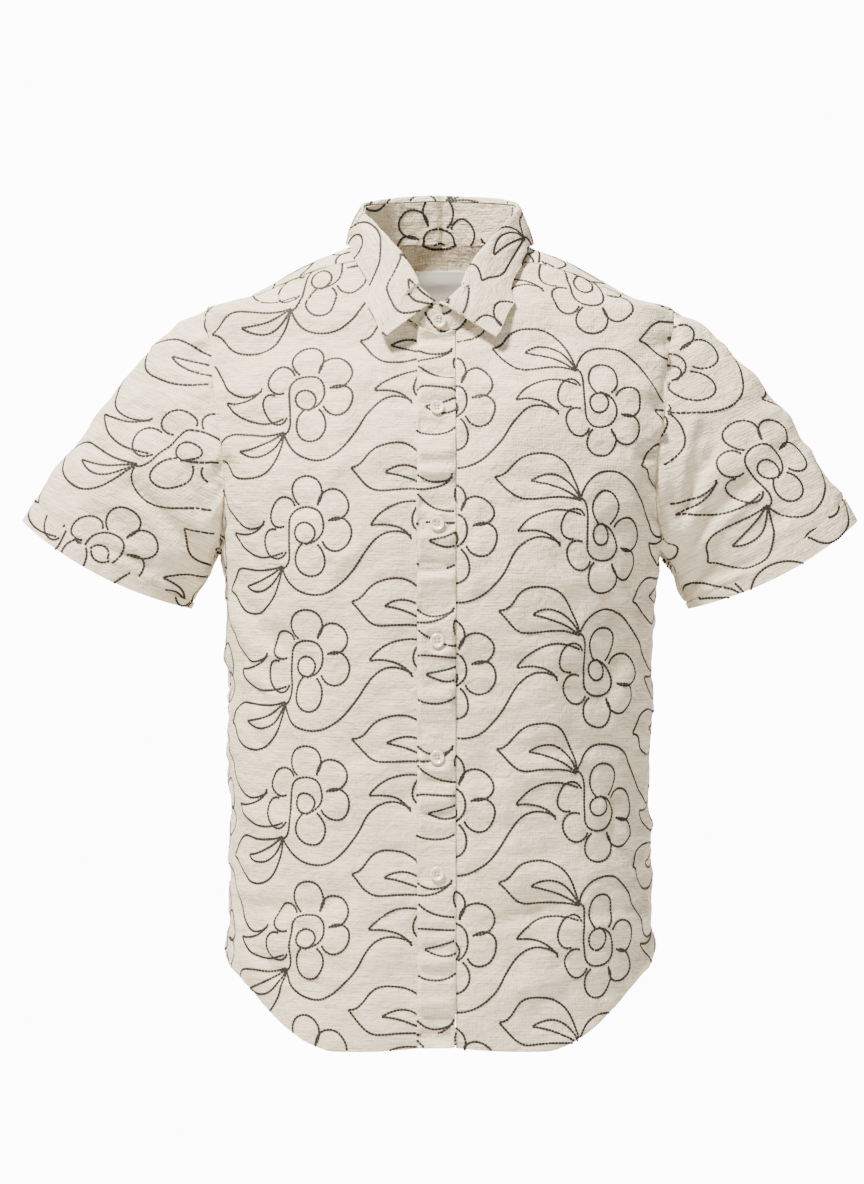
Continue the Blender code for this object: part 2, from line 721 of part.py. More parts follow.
def leaf_grid():
    """Outer points of the collar leaf, rows from its outer edge up, over the roll, to the stand."""
    kept = slice(OVERLAP_COLUMNS, -OVERLAP_COLUMNS)
    angles = stand_angles()[kept]
    stand, radial, up = (part[..., kept, :] for part in stand_grid(1))
    top = stand[-1] + up * ROLL_GAP
    length = np.concatenate([[0], np.cumsum(np.linalg.norm(np.diff(top, axis=0), axis=1))])
    share = length / length[-1] * 2
    share = 1 - np.abs(1 - share)
    degrees = smooth(share, LEAF_EDGE["share"], LEAF_EDGE["degrees"])
    z = smooth(share, LEAF_EDGE["share"], LEAF_EDGE["z"])
    turned = np.where(angles > math.pi, -np.radians(degrees), np.radians(degrees))
    lift = COLLAR_WALL + COLLAR_LIFT + COLLAR_TIP_LIFT * (1 - ease(share / COLLAR_TIP_SHARE))
    outer = body_point(turned, z) + body_out(turned, z) * lift[:, None]
    t = np.linspace(0, 1, LEAF_ROWS + 1)[:, None, None]
    out_by = COLLAR_ROLL_OUT * (1 + ease(share / COLLAR_FRONT_SHARE))[:, None]
    full = ease((share - COLLAR_ROLL_FROM) / COLLAR_ROLL_OVER)[:, None]
    roll = COLLAR_ROLL * (COLLAR_ROLL_FRONT_SHARE + (1 - COLLAR_ROLL_FRONT_SHARE) * full)
    rising_out, falling_out = COLLAR_ROLL_OUT_BACK
    first = top + up * roll + radial * (COLLAR_ROLL_OUT + rising_out * full)
    second = outer + (top - outer) * COLLAR_SLOPE + radial * (out_by + falling_out * full)
    points = top * (1 - t) ** 3 + outer * t**3 + 3 * t * (1 - t) * (first * (1 - t) + second * t)
    out = grid_out(points[::-1])
    out[-1] = grid_out(stand)[-1]
    return points[::-1], out


def make_leaf(cloth):
    points, out = leaf_grid()
    shell("collar_leaf", points, cloth, COLLAR_WALL, out=out)


def make_label(tape):
    """A small woven label inside the back neck, bare."""
    x = np.linspace(LABEL_HALF_WIDTH, -LABEL_HALF_WIDTH, 7)[None]
    z = np.linspace(LABEL_BOTTOM_Z, LABEL_TOP_Z, 4)[:, None]
    angle = math.pi - angle_at_x(x, z)
    z = z * np.ones_like(x)
    below_cloth = WALL + LAYER_GAP
    shell("neck_label", body_point(angle, z) - body_out(angle, z) * below_cloth, tape, LABEL_WALL)


def button_profile():
    """Half section of a button: (radius, height) from the middle of its back to the middle of its face."""
    return [
        (0.0, 0.0),
        (0.8 * BUTTON_RADIUS, 0.0),
        (BUTTON_RADIUS, 0.3 * BUTTON_THICK),
        (BUTTON_RADIUS, 0.75 * BUTTON_THICK),
        (0.88 * BUTTON_RADIUS, BUTTON_THICK),
        (0.62 * BUTTON_RADIUS, 0.72 * BUTTON_THICK),
        (0.0, 0.72 * BUTTON_THICK),
    ]


def make_button(name, seat, out, up, pearl, sides=16):
    """A turned button whose back sits on seat and whose face looks along out."""
    across = np.cross(up, out)
    rings = button_profile()
    points = [seat + out * rings[0][1]]
    for radius, height in rings[1:-1]:
        for k in range(sides):
            turn = 2 * math.pi * k / sides
            points.append(seat + out * height + radius * (across * math.cos(turn) + up * math.sin(turn)))
    points.append(seat + out * rings[-1][1])
    last = len(points) - 1
    faces = []
    for k in range(sides):
        beside = (k + 1) % sides
        faces.append([0, 1 + beside, 1 + k])
        faces.append([last, last - sides + k, last - sides + beside])
        for ring in range(len(rings) - 3):
            low = 1 + ring * sides
            faces.append([low + k, low + beside, low + sides + beside, low + sides + k])
    return add_object(name, points, faces, pearl)


def make_buttons(pearl):
    heights = [BUTTON_TOP_Z - BUTTON_PITCH * k for k in range(BUTTON_COUNT)]
    for k, z in enumerate(heights):
        angle = angle_at_x(BUTTON_X, z)
        out = body_out(angle, z)
        up = np.cross(out, [1.0, 0, 0])
        up /= np.linalg.norm(up)
        up *= np.sign(up[2])
        seat = body_point(angle, z) + out * (PLACKET_RISE + LAYER_GAP)
        make_button(f"button_{k + 1}", seat, out, up, pearl)
    angle = angle_at_x(BUTTON_X, NECK_FRONT_Z)
    seam, radial, rise = neck_frame(np.array([float(angle)]))
    rise_by = (STAND_BUTTON_Z - seam[0][2]) / rise[0][2]
    seat = seam[0] + rise[0] * rise_by + radial[0] * (PLACKET_RISE + LAYER_GAP)
    make_button("button_collar", seat, radial[0], rise[0], pearl)


def main():
    for old in list(bpy.data.objects):
        bpy.data.objects.remove(old)
    cloth = make_material("oatmeal_cotton_linen", (0.71, 0.68, 0.59), 0.85)
    tape = make_material("label_tape", (0.72, 0.74, 0.74), 0.7)
    pearl = make_material("pearl_button", (0.86, 0.84, 0.78), 0.25)
    make_fronts(cloth)
    make_placket(cloth)
    make_back(cloth)
    make_yoke(cloth)
    make_sleeves(cloth)
    make_stand(cloth)
    make_leaf(cloth)
    make_label(tape)
    make_buttons(pearl)


main()
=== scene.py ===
# Cream short-sleeved shirt, hollow as on an unseen wearer, embroidered with flowers and leaves.
# The cloth repeats the form of the CAD panels on a finer grid and adds creases, puckers and
# real stitches. Sizes are in mm, as in the CAD, and +Z is up, the front faces -Y.

import math

import bpy
import numpy as np
from mathutils.kdtree import KDTree
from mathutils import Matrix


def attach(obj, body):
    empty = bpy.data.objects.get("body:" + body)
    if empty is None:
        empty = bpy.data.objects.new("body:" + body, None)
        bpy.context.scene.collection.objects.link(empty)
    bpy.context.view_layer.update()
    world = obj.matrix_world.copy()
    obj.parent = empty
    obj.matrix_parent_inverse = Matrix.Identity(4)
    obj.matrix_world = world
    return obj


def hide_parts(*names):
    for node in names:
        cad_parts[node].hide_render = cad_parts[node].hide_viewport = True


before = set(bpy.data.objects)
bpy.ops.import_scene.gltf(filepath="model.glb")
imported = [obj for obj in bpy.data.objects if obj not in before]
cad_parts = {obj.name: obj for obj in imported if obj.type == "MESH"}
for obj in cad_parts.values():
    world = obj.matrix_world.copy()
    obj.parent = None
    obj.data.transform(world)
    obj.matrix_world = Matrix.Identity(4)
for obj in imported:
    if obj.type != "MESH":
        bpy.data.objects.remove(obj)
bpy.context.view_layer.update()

mm = 0.001
flatMap = "clothFlat"

# Thickness of each cloth, and the gaps at seams and between layers
walls = {"cloth": 0.7, "band": 1.9, "collar": 1.6, "leaf": 1.2, "label": 0.9, "inCad": 1.3}
gaps = {"seam": 0.4, "layer": 0.4}

# Driving heights, measured down from the neck point of the shoulder
bodyHeights = {
    "neckFront": -84.0, "shoulderTip": -57.0, "shoulderLow": -124.0, "armpit": -266.0,
    "waist": -400.0, "sideHem": -628.0, "lowHem": -695.0, "centreHem": -690.0,
}
riseShare = 0.8

# Steps for slopes worked out by differences, turn in radians and height, and for searches
smallTurn = 0.01
smallRise = 1.0
halvings = 40
onPanel = 0.25

# How many faces each seam is cut into, about 4 mm apart up and 3 mm across
fineRows = 7
fineColumns = 5
hemToNeck = 5 * fineColumns
hemToShoulder = 9 * fineColumns
sideRows = 13 * fineRows
armholeFrontRows = 9 * fineRows
yokeArmhole = 5 * fineRows
armholeBackRows = 8 * fineRows
backColumns = 24 * fineColumns
edgeReach = 3
sleeveRows = 56
cuffRows = 8
standRows = 10
leafRows = 24
overlapColumns = 3 * fineColumns
placketColumns = 6
foldFadeRows = 12

# Random hills are read from a lattice of this many points a side, well inside it
latticeSize = 97
latticeShift = 40.0


def table(names, rows):
    return dict(zip(names.split(), np.array(rows, float).T))


# Level sections of the body: half width at the side, depth to front and back, squareness
bodyTable = table("z half_width front back square", [
    (-710, 189, 131, 122, 2.3),
    (-620, 187, 129, 118, 2.3),
    (-560, 184.5, 127, 114, 2.3),
    (-480, 184, 124, 112, 2.3),
    (-400, 186, 125, 117, 2.3),
    (-330, 188, 127, 122, 2.3),
    (-266, 193, 126, 124, 2.3),
    (-210, 205, 119, 120, 2.25),
    (-160, 215, 107, 112, 2.2),
    (-130, 219, 95, 105, 2.1),
    (-100, 217, 79, 98, 2.0),
    (-87, 215, 72, 94, 2.0),
    (-75, 212, 69, 90, 2.0),
    (-57, 207, 61, 84, 2.0),
    (-47, 171, 55, 81, 2.0),
    (-36, 150, 48, 77, 2.0),
    (-25, 132, 41, 72, 2.0),
    (-15, 112, 34, 69, 2.0),
    (-4, 84, 21, 65, 2.0),
    (0, 74, 15, 64, 2.0),
    (8, 67, 10, 62, 2.0),
])

# Neck seam: turn round the body from the centre front, and height
neckTable = table("degrees z", [
    (-4, -79),
    (0, bodyHeights["neckFront"]),
    (4, -79),
    (8, -67),
    (13, -48),
    (20, -30),
    (32, -15),
    (48, -6),
    (70, -1),
    (90, 2),
    (120, 4),
    (180, 6),
])

# Outer edge of the collar leaf where it lies on the body, from a collar point to the back
leafEdgeTable = table("share degrees z", [
    (0.00, 12.6, -92),
    (0.14, 17, -62),
    (0.28, 25, -36),
    (0.40, 41, -16),
    (0.50, 66, -5),
    (0.60, 95, -3),
    (0.75, 132, -3),
    (1.00, 180, -3),
])

# Hem: share of the way from centre to side seam, and height
hemTable = table("share z", [
    (0.00, bodyHeights["centreHem"]),
    (0.15, -694),
    (0.28, bodyHeights["lowHem"]),
    (0.37, -689),
    (0.46, -677),
    (0.56, -661),
    (0.66, -646),
    (0.80, -634),
    (1.00, bodyHeights["sideHem"]),
])


def smooth(at, xs, ys):
    # a smooth curve through the rows of a table, which never overshoots them
    at = np.clip(np.asarray(at, float), xs[0], xs[-1])
    step = np.diff(xs)
    rise = np.diff(ys) / step
    same = rise[:-1] * rise[1:] > 0
    weightA, weightB = 2 * step[1:] + step[:-1], step[1:] + 2 * step[:-1]
    below, above = np.where(same, rise[:-1], 1), np.where(same, rise[1:], 1)
    inner = np.where(same, (weightA + weightB) / (weightA / below + weightB / above), 0.0)
    slope = np.concatenate([[rise[0]], inner, [rise[-1]]])
    i = np.clip(np.searchsorted(xs, at, side="right") - 1, 0, len(step) - 1)
    return arc(ys[i], slope[i] * step[i], ys[i + 1], slope[i + 1] * step[i], (at - xs[i]) / step[i])


def arc(start, leaving, end, arriving, t):
    # from start to end, with the slopes given at both
    return (
        start * (1 + 2 * t) * (1 - t) ** 2 + leaving * t * (1 - t) ** 2
        + end * t * t * (3 - 2 * t) + arriving * t * t * (t - 1)
    )


def unit(v):
    return v / np.maximum(np.linalg.norm(v, axis=-1, keepdims=True), 1e-9)


def bell(t):
    return np.exp(-(t**2))


def depthOf(z, front):
    return np.where(front, section(z, "front"), section(z, "back"))


def ease(t):
    t = np.clip(t, 0, 1)
    return t * t * (3 - 2 * t)


def section(z, name):
    return smooth(z, bodyTable["z"], bodyTable[name])


def bodyPoint(angle, z):
    angle, z = np.broadcast_arrays(np.asarray(angle, float), np.asarray(z, float))
    power = 2 / section(z, "square")
    across, along = np.sin(angle), np.cos(angle)
    x = section(z, "half_width") * np.sign(across) * np.abs(across) ** power
    y = -depthOf(z, along > 0) * np.sign(along) * np.abs(along) ** power
    return np.stack([x, y, z], axis=-1)


def angleAtX(x, z):
    share = np.clip(np.abs(x) / section(z, "half_width"), 0, 1)
    return np.sign(x) * np.arcsin(share ** (section(z, "square") / 2))


def angleAtY(y, z):
    front = np.asarray(y) < 0
    angle = np.arccos(np.clip(np.abs(y) / depthOf(z, front), 0, 1) ** (section(z, "square") / 2))
    return np.where(front, angle, np.pi - angle)


def bodyOut(angle, z):
    roundIt = bodyPoint(angle + smallTurn, z) - bodyPoint(angle - smallTurn, z)
    upIt = bodyPoint(angle, z + smallRise) - bodyPoint(angle, z - smallRise)
    return unit(np.cross(roundIt, upIt))


def neckHeight(angle):
    return smooth(np.degrees(np.abs(angle)), neckTable["degrees"], neckTable["z"])


def hemHeight(share):
    return smooth(share, hemTable["share"], hemTable["z"])


# Armhole, an upright oval seen from the side, fullest below its middle
armholes = {"frontReach": 53.0, "backReach": 52.0, "skew": 0.45}
yokeCut = {
    "frontTurn": math.radians(16), "backTurn": math.radians(54), "neckAngle": math.radians(32),
    "backZ": -104.0, "stretch": 1.05, "slope": 0.42,
}


def armhole(turn):
    top, bottom = bodyHeights["shoulderTip"], bodyHeights["armpit"]
    z = (top + bottom) / 2 + (top - bottom) / 2 * np.cos(turn)
    reach = np.where(turn < 0, armholes["frontReach"], armholes["backReach"])
    return angleAtY(reach * np.sin(turn) * (1 - armholes["skew"] * np.cos(turn)), z), z


def armholeFront():
    return np.linspace(-math.pi, -yokeCut["frontTurn"], armholeFrontRows + 1)


def armholeYoke():
    return np.linspace(-yokeCut["frontTurn"], yokeCut["backTurn"], yokeArmhole + 1)


def armholeBack():
    return np.linspace(math.pi, yokeCut["backTurn"], armholeBackRows + 1)


def onShoulders(x, y):
    # turn and height of the places on the shoulders above x and y
    low, high = np.full(x.shape, bodyHeights["shoulderLow"]), np.full(x.shape, bodyTable["z"][-1])
    for _ in range(halvings):
        z = (low + high) / 2
        wide, deep, square = section(z, "half_width"), depthOf(z, y < 0), section(z, "square")
        inside = np.abs(x / wide) ** square + np.abs(y / deep) ** square < 1
        low, high = np.where(inside, z, low), np.where(inside, high, z)
    across = np.abs(x / wide) ** (square / 2) * np.sign(x)
    along = np.abs(y / deep) ** (square / 2) * -np.sign(y)
    return np.arctan2(across, along) % (2 * math.pi), z


def shoulderSeam():
    neck = bodyPoint(yokeCut["neckAngle"], neckHeight(yokeCut["neckAngle"]))
    tip = bodyPoint(*armhole(np.array(-yokeCut["frontTurn"])))
    level = neck + (tip - neck) * np.linspace(0, 1, hemToShoulder + 1)[:, None]
    angle, z = onShoulders(level[:, 0], level[:, 1])
    z[0], z[-1] = neck[2], tip[2]
    return angle, z


def backSeam():
    t = np.linspace(-1, 1, backColumns + 1)
    endAngle, endZ = armhole(np.array(yokeCut["backTurn"]))
    return math.pi + (math.pi - endAngle) * t, yokeCut["backZ"] + (endZ - yokeCut["backZ"]) * t * t


def coons(left, right, bottom, top, reach=1):
    left, right, bottom, top = (np.stack(side, axis=-1) for side in (left, right, bottom, top))
    up = np.linspace(0, 1, len(left))[:, None, None]
    over = np.linspace(0, 1, len(bottom))[None, :, None]
    lowBend, highBend = (end - (end[0] * (1 - over) + end[-1] * over) for end in (bottom, top))
    filled = left[:, None] * (1 - over) + right[:, None] * over
    filled = filled + lowBend * (1 - up) ** reach + highBend * up**reach
    return filled[..., 0], filled[..., 1]


def gridOut(points, closed=False):
    if closed:
        over = np.roll(points, -1, axis=1) - np.roll(points, 1, axis=1)
    else:
        over = np.gradient(points, axis=1)
    return unit(np.cross(over, np.gradient(points, axis=0)))


# Largest folds: ends as seen from the front (x, z), half width across, depth (minus is a
# trough), and which face they are on (-1 front, 1 back, 0 both)
foldTable = table("x1 z1 x2 z2 spread depth face", [
    (150, -572, 60, -580, 14, -2.5, -1),
    (172, -590, 90, -604, 16, 2.0, -1),
    (-170, -575, -80, -566, 13, -2.2, -1),
    (-150, -600, -60, -622, 15, 2.0, -1),
    (176, -300, 120, -420, 18, -2.4, -1),
    (-176, -300, -128, -400, 18, -2.2, -1),
    (120, -200, 176, -150, 12, -1.6, -1),
    (-120, -196, -174, -152, 12, -1.6, -1),
    (214, -268, 268, -214, 11, -5.0, -1),
    (228, -292, 300, -240, 12, -3.2, -1),
    (204, -226, 238, -170, 12, -3.5, -1),
    (-214, -268, -262, -206, 11, -5.0, -1),
    (-230, -290, -304, -236, 12, -3.4, -1),
    (-205, -220, -232, -160, 12, -3.6, -1),
    (70, -130, 40, -560, 26, 2.4, 1),
    (-76, -150, -52, -600, 26, 2.6, 1),
    (150, -300, 96, -500, 22, -3.0, 1),
    (-154, -310, -104, -470, 22, -2.8, 1),
    (120, -560, -110, -548, 16, -2.6, 1),
    (214, -262, 272, -206, 13, -4.2, 1),
    (-216, -258, -268, -204, 13, -4.4, 1),
])


def folded(points, out):
    depth = np.zeros(points.shape[:-1])
    for x1, z1, x2, z2, spread, high, face in zip(*foldTable.values()):
        start = np.array([x1, z1])
        run = np.array([x2, z2]) - start
        flat = points[..., [0, 2]] - start
        along = np.clip(flat @ run / (run @ run), 0, 1)
        away = np.linalg.norm(flat - along[..., None] * run, axis=-1)
        share = np.clip(0.5 + 2.0 * face * out[..., 1], 0, 1) if face else 1.0
        depth += high * share * bell(away / spread)
    return points + out * depth[..., None]


def foldedPanel(points, out, closed=False):
    # the folds fade out over the last rows, so that neighbours still meet at their seams
    high, wide = points.shape[:2]
    up = np.minimum(np.arange(high), np.arange(high)[::-1])[:, None]
    over = np.minimum(np.arange(wide), np.arange(wide)[::-1])[None]
    if closed:
        over = np.full((1, wide), high)
    share = ease(np.minimum(up, over) / foldFadeRows)[..., None]
    return placed(points + (folded(points, out) - points) * share, out, closed)


def mirrored(points):
    return (points * [-1, 1, 1])[:, ::-1]


def ringMitre():
    sleeveOut = gridOut(sleeveGrid([0.0, sleeves["firstShare"]]), closed=True)[-1]
    mitre = unit(sleeveOut + bodyOut(*armhole(sleeveRing()[0])))
    return np.concatenate([mitre, mitre[:1]])


def sideEdge(turns):
    # up the side seam, and on along the armhole
    armAngle, armZ = armhole(turns)
    sideZ = np.linspace(bodyHeights["sideHem"], bodyHeights["armpit"], sideRows + 1)
    angle = np.concatenate([np.full(sideRows, math.pi / 2), armAngle])
    return angle, np.concatenate([sideZ[:-1], armZ])


# Front closing: the strip over the left front, and the right front that runs under it
strip = {
    "left": -19.5, "right": 13.0, "rise": 0.8, "rippleHigh": 3.4,
    "collarLeft": -2.0, "collarRight": -21.0,
    "underlapEdge": 12.0, "underlapDrop": -2.2, "underlapEase": (21.0, 24.0),
}


def placketX():
    return np.concatenate([
        np.linspace(strip["left"], strip["collarLeft"], overlapColumns + 1)[:-1],
        np.linspace(strip["collarLeft"], strip["right"] + gaps["seam"] / 2, placketColumns),
    ])


def underlapX():
    return np.linspace(-strip["underlapEdge"], -strip["collarRight"], overlapColumns + 1)


def frontNeckAngles(firstX):
    first = angleAtX(firstX, bodyHeights["neckFront"])
    return np.concatenate([first[:-1], np.linspace(first[-1], yokeCut["neckAngle"], hemToNeck + 1)])


def frontGrid(firstX):
    neckAngle, (seamAngle, seamZ) = frontNeckAngles(firstX), shoulderSeam()
    top = (
        np.concatenate([neckAngle[:-1], seamAngle]),
        np.concatenate([neckHeight(neckAngle[:-1]), seamZ]),
    )
    leftZ = np.linspace(bodyHeights["centreHem"], top[1][0], sideRows + armholeFrontRows + 1)
    left = (angleAtX(firstX[0], leftZ), leftZ)
    hemAngle = np.linspace(left[0][0], math.pi / 2, len(top[0]))
    bottom = (hemAngle, hemHeight(np.clip(hemAngle / (math.pi / 2), 0, 1)))
    left[1][0] = bottom[1][0]
    angle, z = coons(left, sideEdge(armholeFront()), bottom, top, edgeReach)
    out = bodyOut(angle, z)
    out[sideRows:, -1] = ringMitre()[: armholeFrontRows + 1]
    return bodyPoint(angle, z), out


def besidePlacket(distance):
    start, length = strip["underlapEase"]
    return 1 - ease((distance - start) / length)


def underlap(points, out):
    return points + out * (strip["underlapDrop"] * besidePlacket(points[..., 0]))[..., None]


def yokeNeck():
    count = 2 * yokeArmhole + backColumns
    return np.linspace(yokeCut["neckAngle"], 2 * math.pi - yokeCut["neckAngle"], count + 1)


def neckRound(angle):
    return neckHeight(math.pi - np.abs(math.pi - angle))


# Sleeve and cuff band; the cuff's ends and the ways the sleeve leaves the armhole are (x, z):
# at mid height, and what is added at the shoulder and taken off at the armpit
sleeves = {
    "cuffOuter": (367.0, -243.0), "cuffInner": (219.0, -320.0),
    "cuffHalfDepth": 40.0, "cuffCrown": 10.0, "cuffPointed": 1.15,
    "band": 26.0, "bandRise": 0.5, "length": 245.0,
    "startPull": 130.0, "endPull": 190.0, "firstShare": 0.04,
    "leaves": (0.665, -0.68), "leavesTop": (0.285, 0.38), "leavesUnder": (0.215, 0.21),
}


def sleeveRing():
    turn = np.concatenate([armholeFront()[:-1], armholeYoke()[:-1], armholeBack()[::-1][:-1]])
    return turn, bodyPoint(*armhole(turn))


def cuffRing(turn, ring):
    length = runLengths(np.concatenate([ring, ring[:1]]), 0)
    top = int(np.argmin(np.abs(turn)))
    around = np.where(
        np.arange(len(ring)) <= top,
        -math.pi + math.pi * length[:-1] / length[top],
        math.pi * (length[:-1] - length[top]) / (length[-1] - length[top]),
    )
    outer, inner = np.array(sleeves["cuffOuter"]), np.array(sleeves["cuffInner"])
    middle, reach = (outer + inner) / 2, (outer - inner) / 2
    down = np.array([-reach[1], reach[0]]) / np.linalg.norm(reach)
    crown = sleeves["cuffCrown"] * np.sin(around)[:, None] ** 2
    flat = middle + reach * np.cos(around)[:, None] - down * crown
    depth = sleeves["cuffHalfDepth"] * np.sign(around) * np.abs(np.sin(around)) ** sleeves["cuffPointed"]
    return np.stack([flat[:, 0], depth, flat[:, 1]], axis=-1)


def sleeveGrid(shares):
    turn, ring = sleeveRing()
    cuff = cuffRing(turn, ring)
    rise = np.cos(turn)[:, None]
    seen = sleeves["leaves"] + np.where(rise > 0, sleeves["leavesTop"], sleeves["leavesUnder"]) * rise
    leaving = np.stack([seen[:, 0], np.zeros(len(ring)), seen[:, 1]], axis=1)
    leaving *= sleeves["startPull"] / np.linalg.norm(leaving, axis=1, keepdims=True)
    edge = np.array(sleeves["cuffOuter"]) - np.array(sleeves["cuffInner"])
    arriving = np.array([-edge[1], 0, edge[0]]) * [-1, 0, -1]
    arriving *= sleeves["endPull"] / np.linalg.norm(arriving)
    length = np.linalg.norm(cuff - ring, axis=1, keepdims=True) / sleeves["length"]
    t = np.asarray(shares, float)[:, None, None]
    return arc(ring, leaving * length, cuff, arriving * length, t)[::-1]


# Stand and leaf of the collar; lengths in mm, and shares of the way from a point to the back
collar = {
    "standFront": 25.0, "standBack": 38.0, "lean": math.radians(9), "leanBy": 0.6,
    "riseFrom": 0.1, "rounding": 5.0, "roundingReach": 6.0,
    "roll": 20.0, "rollFrontShare": 0.25, "rollFrom": 0.45, "rollOver": 0.5,
    "rollOut": 2.0, "rollOutBack": (4.0, 8.0), "rollGap": 1.3,
    "slope": 0.5, "tipShare": 0.2, "frontShare": 0.3, "lift": 2.4, "tipLift": 8.0,
}


def neckFrame(angle):
    # places on the neck seam, with the ways out of the neck and up the stand
    points, after, before = (
        bodyPoint(a, neckRound(np.abs(a))) for a in (angle, angle + smallTurn, angle - smallTurn)
    )
    radial = unit(points * [1, 1, 0])
    rise = unit(np.cross(radial, unit(after - before)))
    return points, radial, rise * np.sign(rise[..., 2:3])


def standAngles():
    return np.concatenate([
        angleAtX(placketX(), bodyHeights["neckFront"])[:-1],
        frontNeckAngles(placketX()[-1:])[:-1],
        yokeNeck()[:-1],
        2 * math.pi - frontNeckAngles(underlapX())[::-1],
    ])


def standGrid(rows):
    angles = standAngles()
    wrapped = np.where(angles > math.pi, angles - 2 * math.pi, angles)
    points, radial, rise = neckFrame(wrapped)
    back = ease((np.abs(wrapped) - collar["riseFrom"]) / (math.pi - collar["riseFrom"]))[:, None]
    height = collar["standFront"] + (collar["standBack"] - collar["standFront"]) * back
    lean = collar["lean"] * ease(np.abs(wrapped)[:, None] / collar["leanBy"])
    over = strip["rise"] * besidePlacket(points[:, 0]) * (angles < math.pi)
    under = strip["underlapDrop"] * besidePlacket(-points[:, 0]) * (angles > math.pi)
    points = points + radial * (over + under)[:, None]
    t = np.linspace(0, 1, rows + 1)[:, None, None]
    up = rise * np.cos(lean) - radial * np.sin(lean)
    return points + up * height * t, radial, up


def leafGrid():
    kept = slice(overlapColumns, -overlapColumns)
    angles = standAngles()[kept]
    stand, radial, up = (part[..., kept, :] for part in standGrid(1))
    top = stand[-1] + up * collar["rollGap"]
    length = runLengths(top, 0)
    share = length / length[-1] * 2
    share = 1 - np.abs(1 - share)
    degrees, z = (smooth(share, leafEdgeTable["share"], leafEdgeTable[name]) for name in ("degrees", "z"))
    turned = np.where(angles > math.pi, -np.radians(degrees), np.radians(degrees))
    lifted = walls["collar"] + collar["lift"] + collar["tipLift"] * (1 - ease(share / collar["tipShare"]))
    outer = bodyPoint(turned, z) + bodyOut(turned, z) * lifted[:, None]
    t = np.linspace(0, 1, leafRows + 1)[:, None, None]
    outBy = collar["rollOut"] * (1 + ease(share / collar["frontShare"]))[:, None]
    full = ease((share - collar["rollFrom"]) / collar["rollOver"])[:, None]
    roll = collar["roll"] * (collar["rollFrontShare"] + (1 - collar["rollFrontShare"]) * full)
    risingOut, fallingOut = collar["rollOutBack"]
    first = top + up * roll + radial * (collar["rollOut"] + risingOut * full)
    second = outer + (top - outer) * collar["slope"] + radial * (outBy + fallingOut * full)
    points = top * (1 - t) ** 3 + outer * t**3 + 3 * t * (1 - t) * (first * (1 - t) + second * t)
    out = gridOut(points[::-1])
    out[-1] = gridOut(stand)[-1]
    return points[::-1], out


def placed(points, out, closed=False, wall=walls["cloth"]):
    return {"points": points, "out": out, "closed": closed, "wall": wall}


def frontPanels():
    left = foldedPanel(*frontGrid(placketX()[-1:]))
    points, out = frontGrid(underlapX())
    return left, foldedPanel(mirrored(underlap(points, out)), mirrored(out))


def placketPanel():
    rows = 2 * (sideRows + armholeFrontRows)
    x = placketX()
    x[-1] -= gaps["seam"]
    t = np.linspace(0, 1, rows + 1)[:, None]
    top = neckHeight(angleAtX(x, bodyHeights["neckFront"]))
    z = bodyHeights["centreHem"] + (top - bodyHeights["centreHem"]) * t
    angle = angleAtX(x[None], z)
    out = bodyOut(angle, z)
    return placed(bodyPoint(angle, z) + out * strip["rise"], out, wall=walls["band"])


def backPanel():
    angle, z = sideEdge(armholeBack())
    hemAngle = np.linspace(math.pi / 2, 3 * math.pi / 2, backColumns + 1)
    hem = hemHeight(np.abs(hemAngle - math.pi) / (math.pi / 2))
    angle, z = coons((angle, z), (2 * math.pi - angle, z), (hemAngle, hem), backSeam(), edgeReach)
    return foldedPanel(bodyPoint(angle, z), bodyOut(angle, z))


def yokePanel():
    armAngle, armZ = armhole(armholeYoke())
    seamAngle, seamZ = backSeam()
    outer = (
        np.concatenate([armAngle[:-1], seamAngle, (2 * math.pi - armAngle[::-1])[1:]]),
        np.concatenate([armZ[:-1], seamZ, armZ[::-1][1:]]),
    )
    frontAngle, frontZ = shoulderSeam()
    left = (frontAngle[::-1], frontZ[::-1])
    right = (2 * math.pi - frontAngle[::-1], frontZ[::-1])
    sides = (left, right, outer, (yokeNeck(), neckRound(yokeNeck())))
    angle, z = onShoulders(*coons(*((p[:, 0], p[:, 1]) for p in (bodyPoint(*side) for side in sides))))
    return placed(bodyPoint(angle, z), bodyOut(angle, z))


def sleevePanels():
    bandStart = 1 - sleeves["band"] / sleeves["length"]
    points = sleeveGrid(np.linspace(0, bandStart, sleeveRows + 1))
    sleeve = foldedPanel(points, gridOut(points, closed=True), closed=True)
    points = sleeveGrid(np.linspace(bandStart, 1, cuffRows + 1))
    out = gridOut(points, closed=True)
    return sleeve, placed(points + out * sleeves["bandRise"], out, closed=True, wall=walls["band"])


def otherSide(panel):
    return {**panel, "points": mirrored(panel["points"]), "out": mirrored(panel["out"])}


def standPanel():
    points, _, up = standGrid(standRows)
    length = runLengths(points[0], 0)
    drop = collar["rounding"] * bell(np.minimum(length, length[-1] - length) / collar["roundingReach"])
    points = points - up * (drop * np.linspace(0, 1, standRows + 1)[:, None] ** 2)[..., None]
    return placed(points, gridOut(points), wall=walls["collar"])


def leafPanel():
    return placed(*leafGrid(), wall=walls["leaf"])


def runLengths(points, axis):
    step = np.linalg.norm(np.diff(points, axis=axis), axis=-1)
    start = np.zeros_like(np.take(step, [0], axis=axis))
    return np.concatenate([start, np.cumsum(step, axis=axis)], axis=axis)


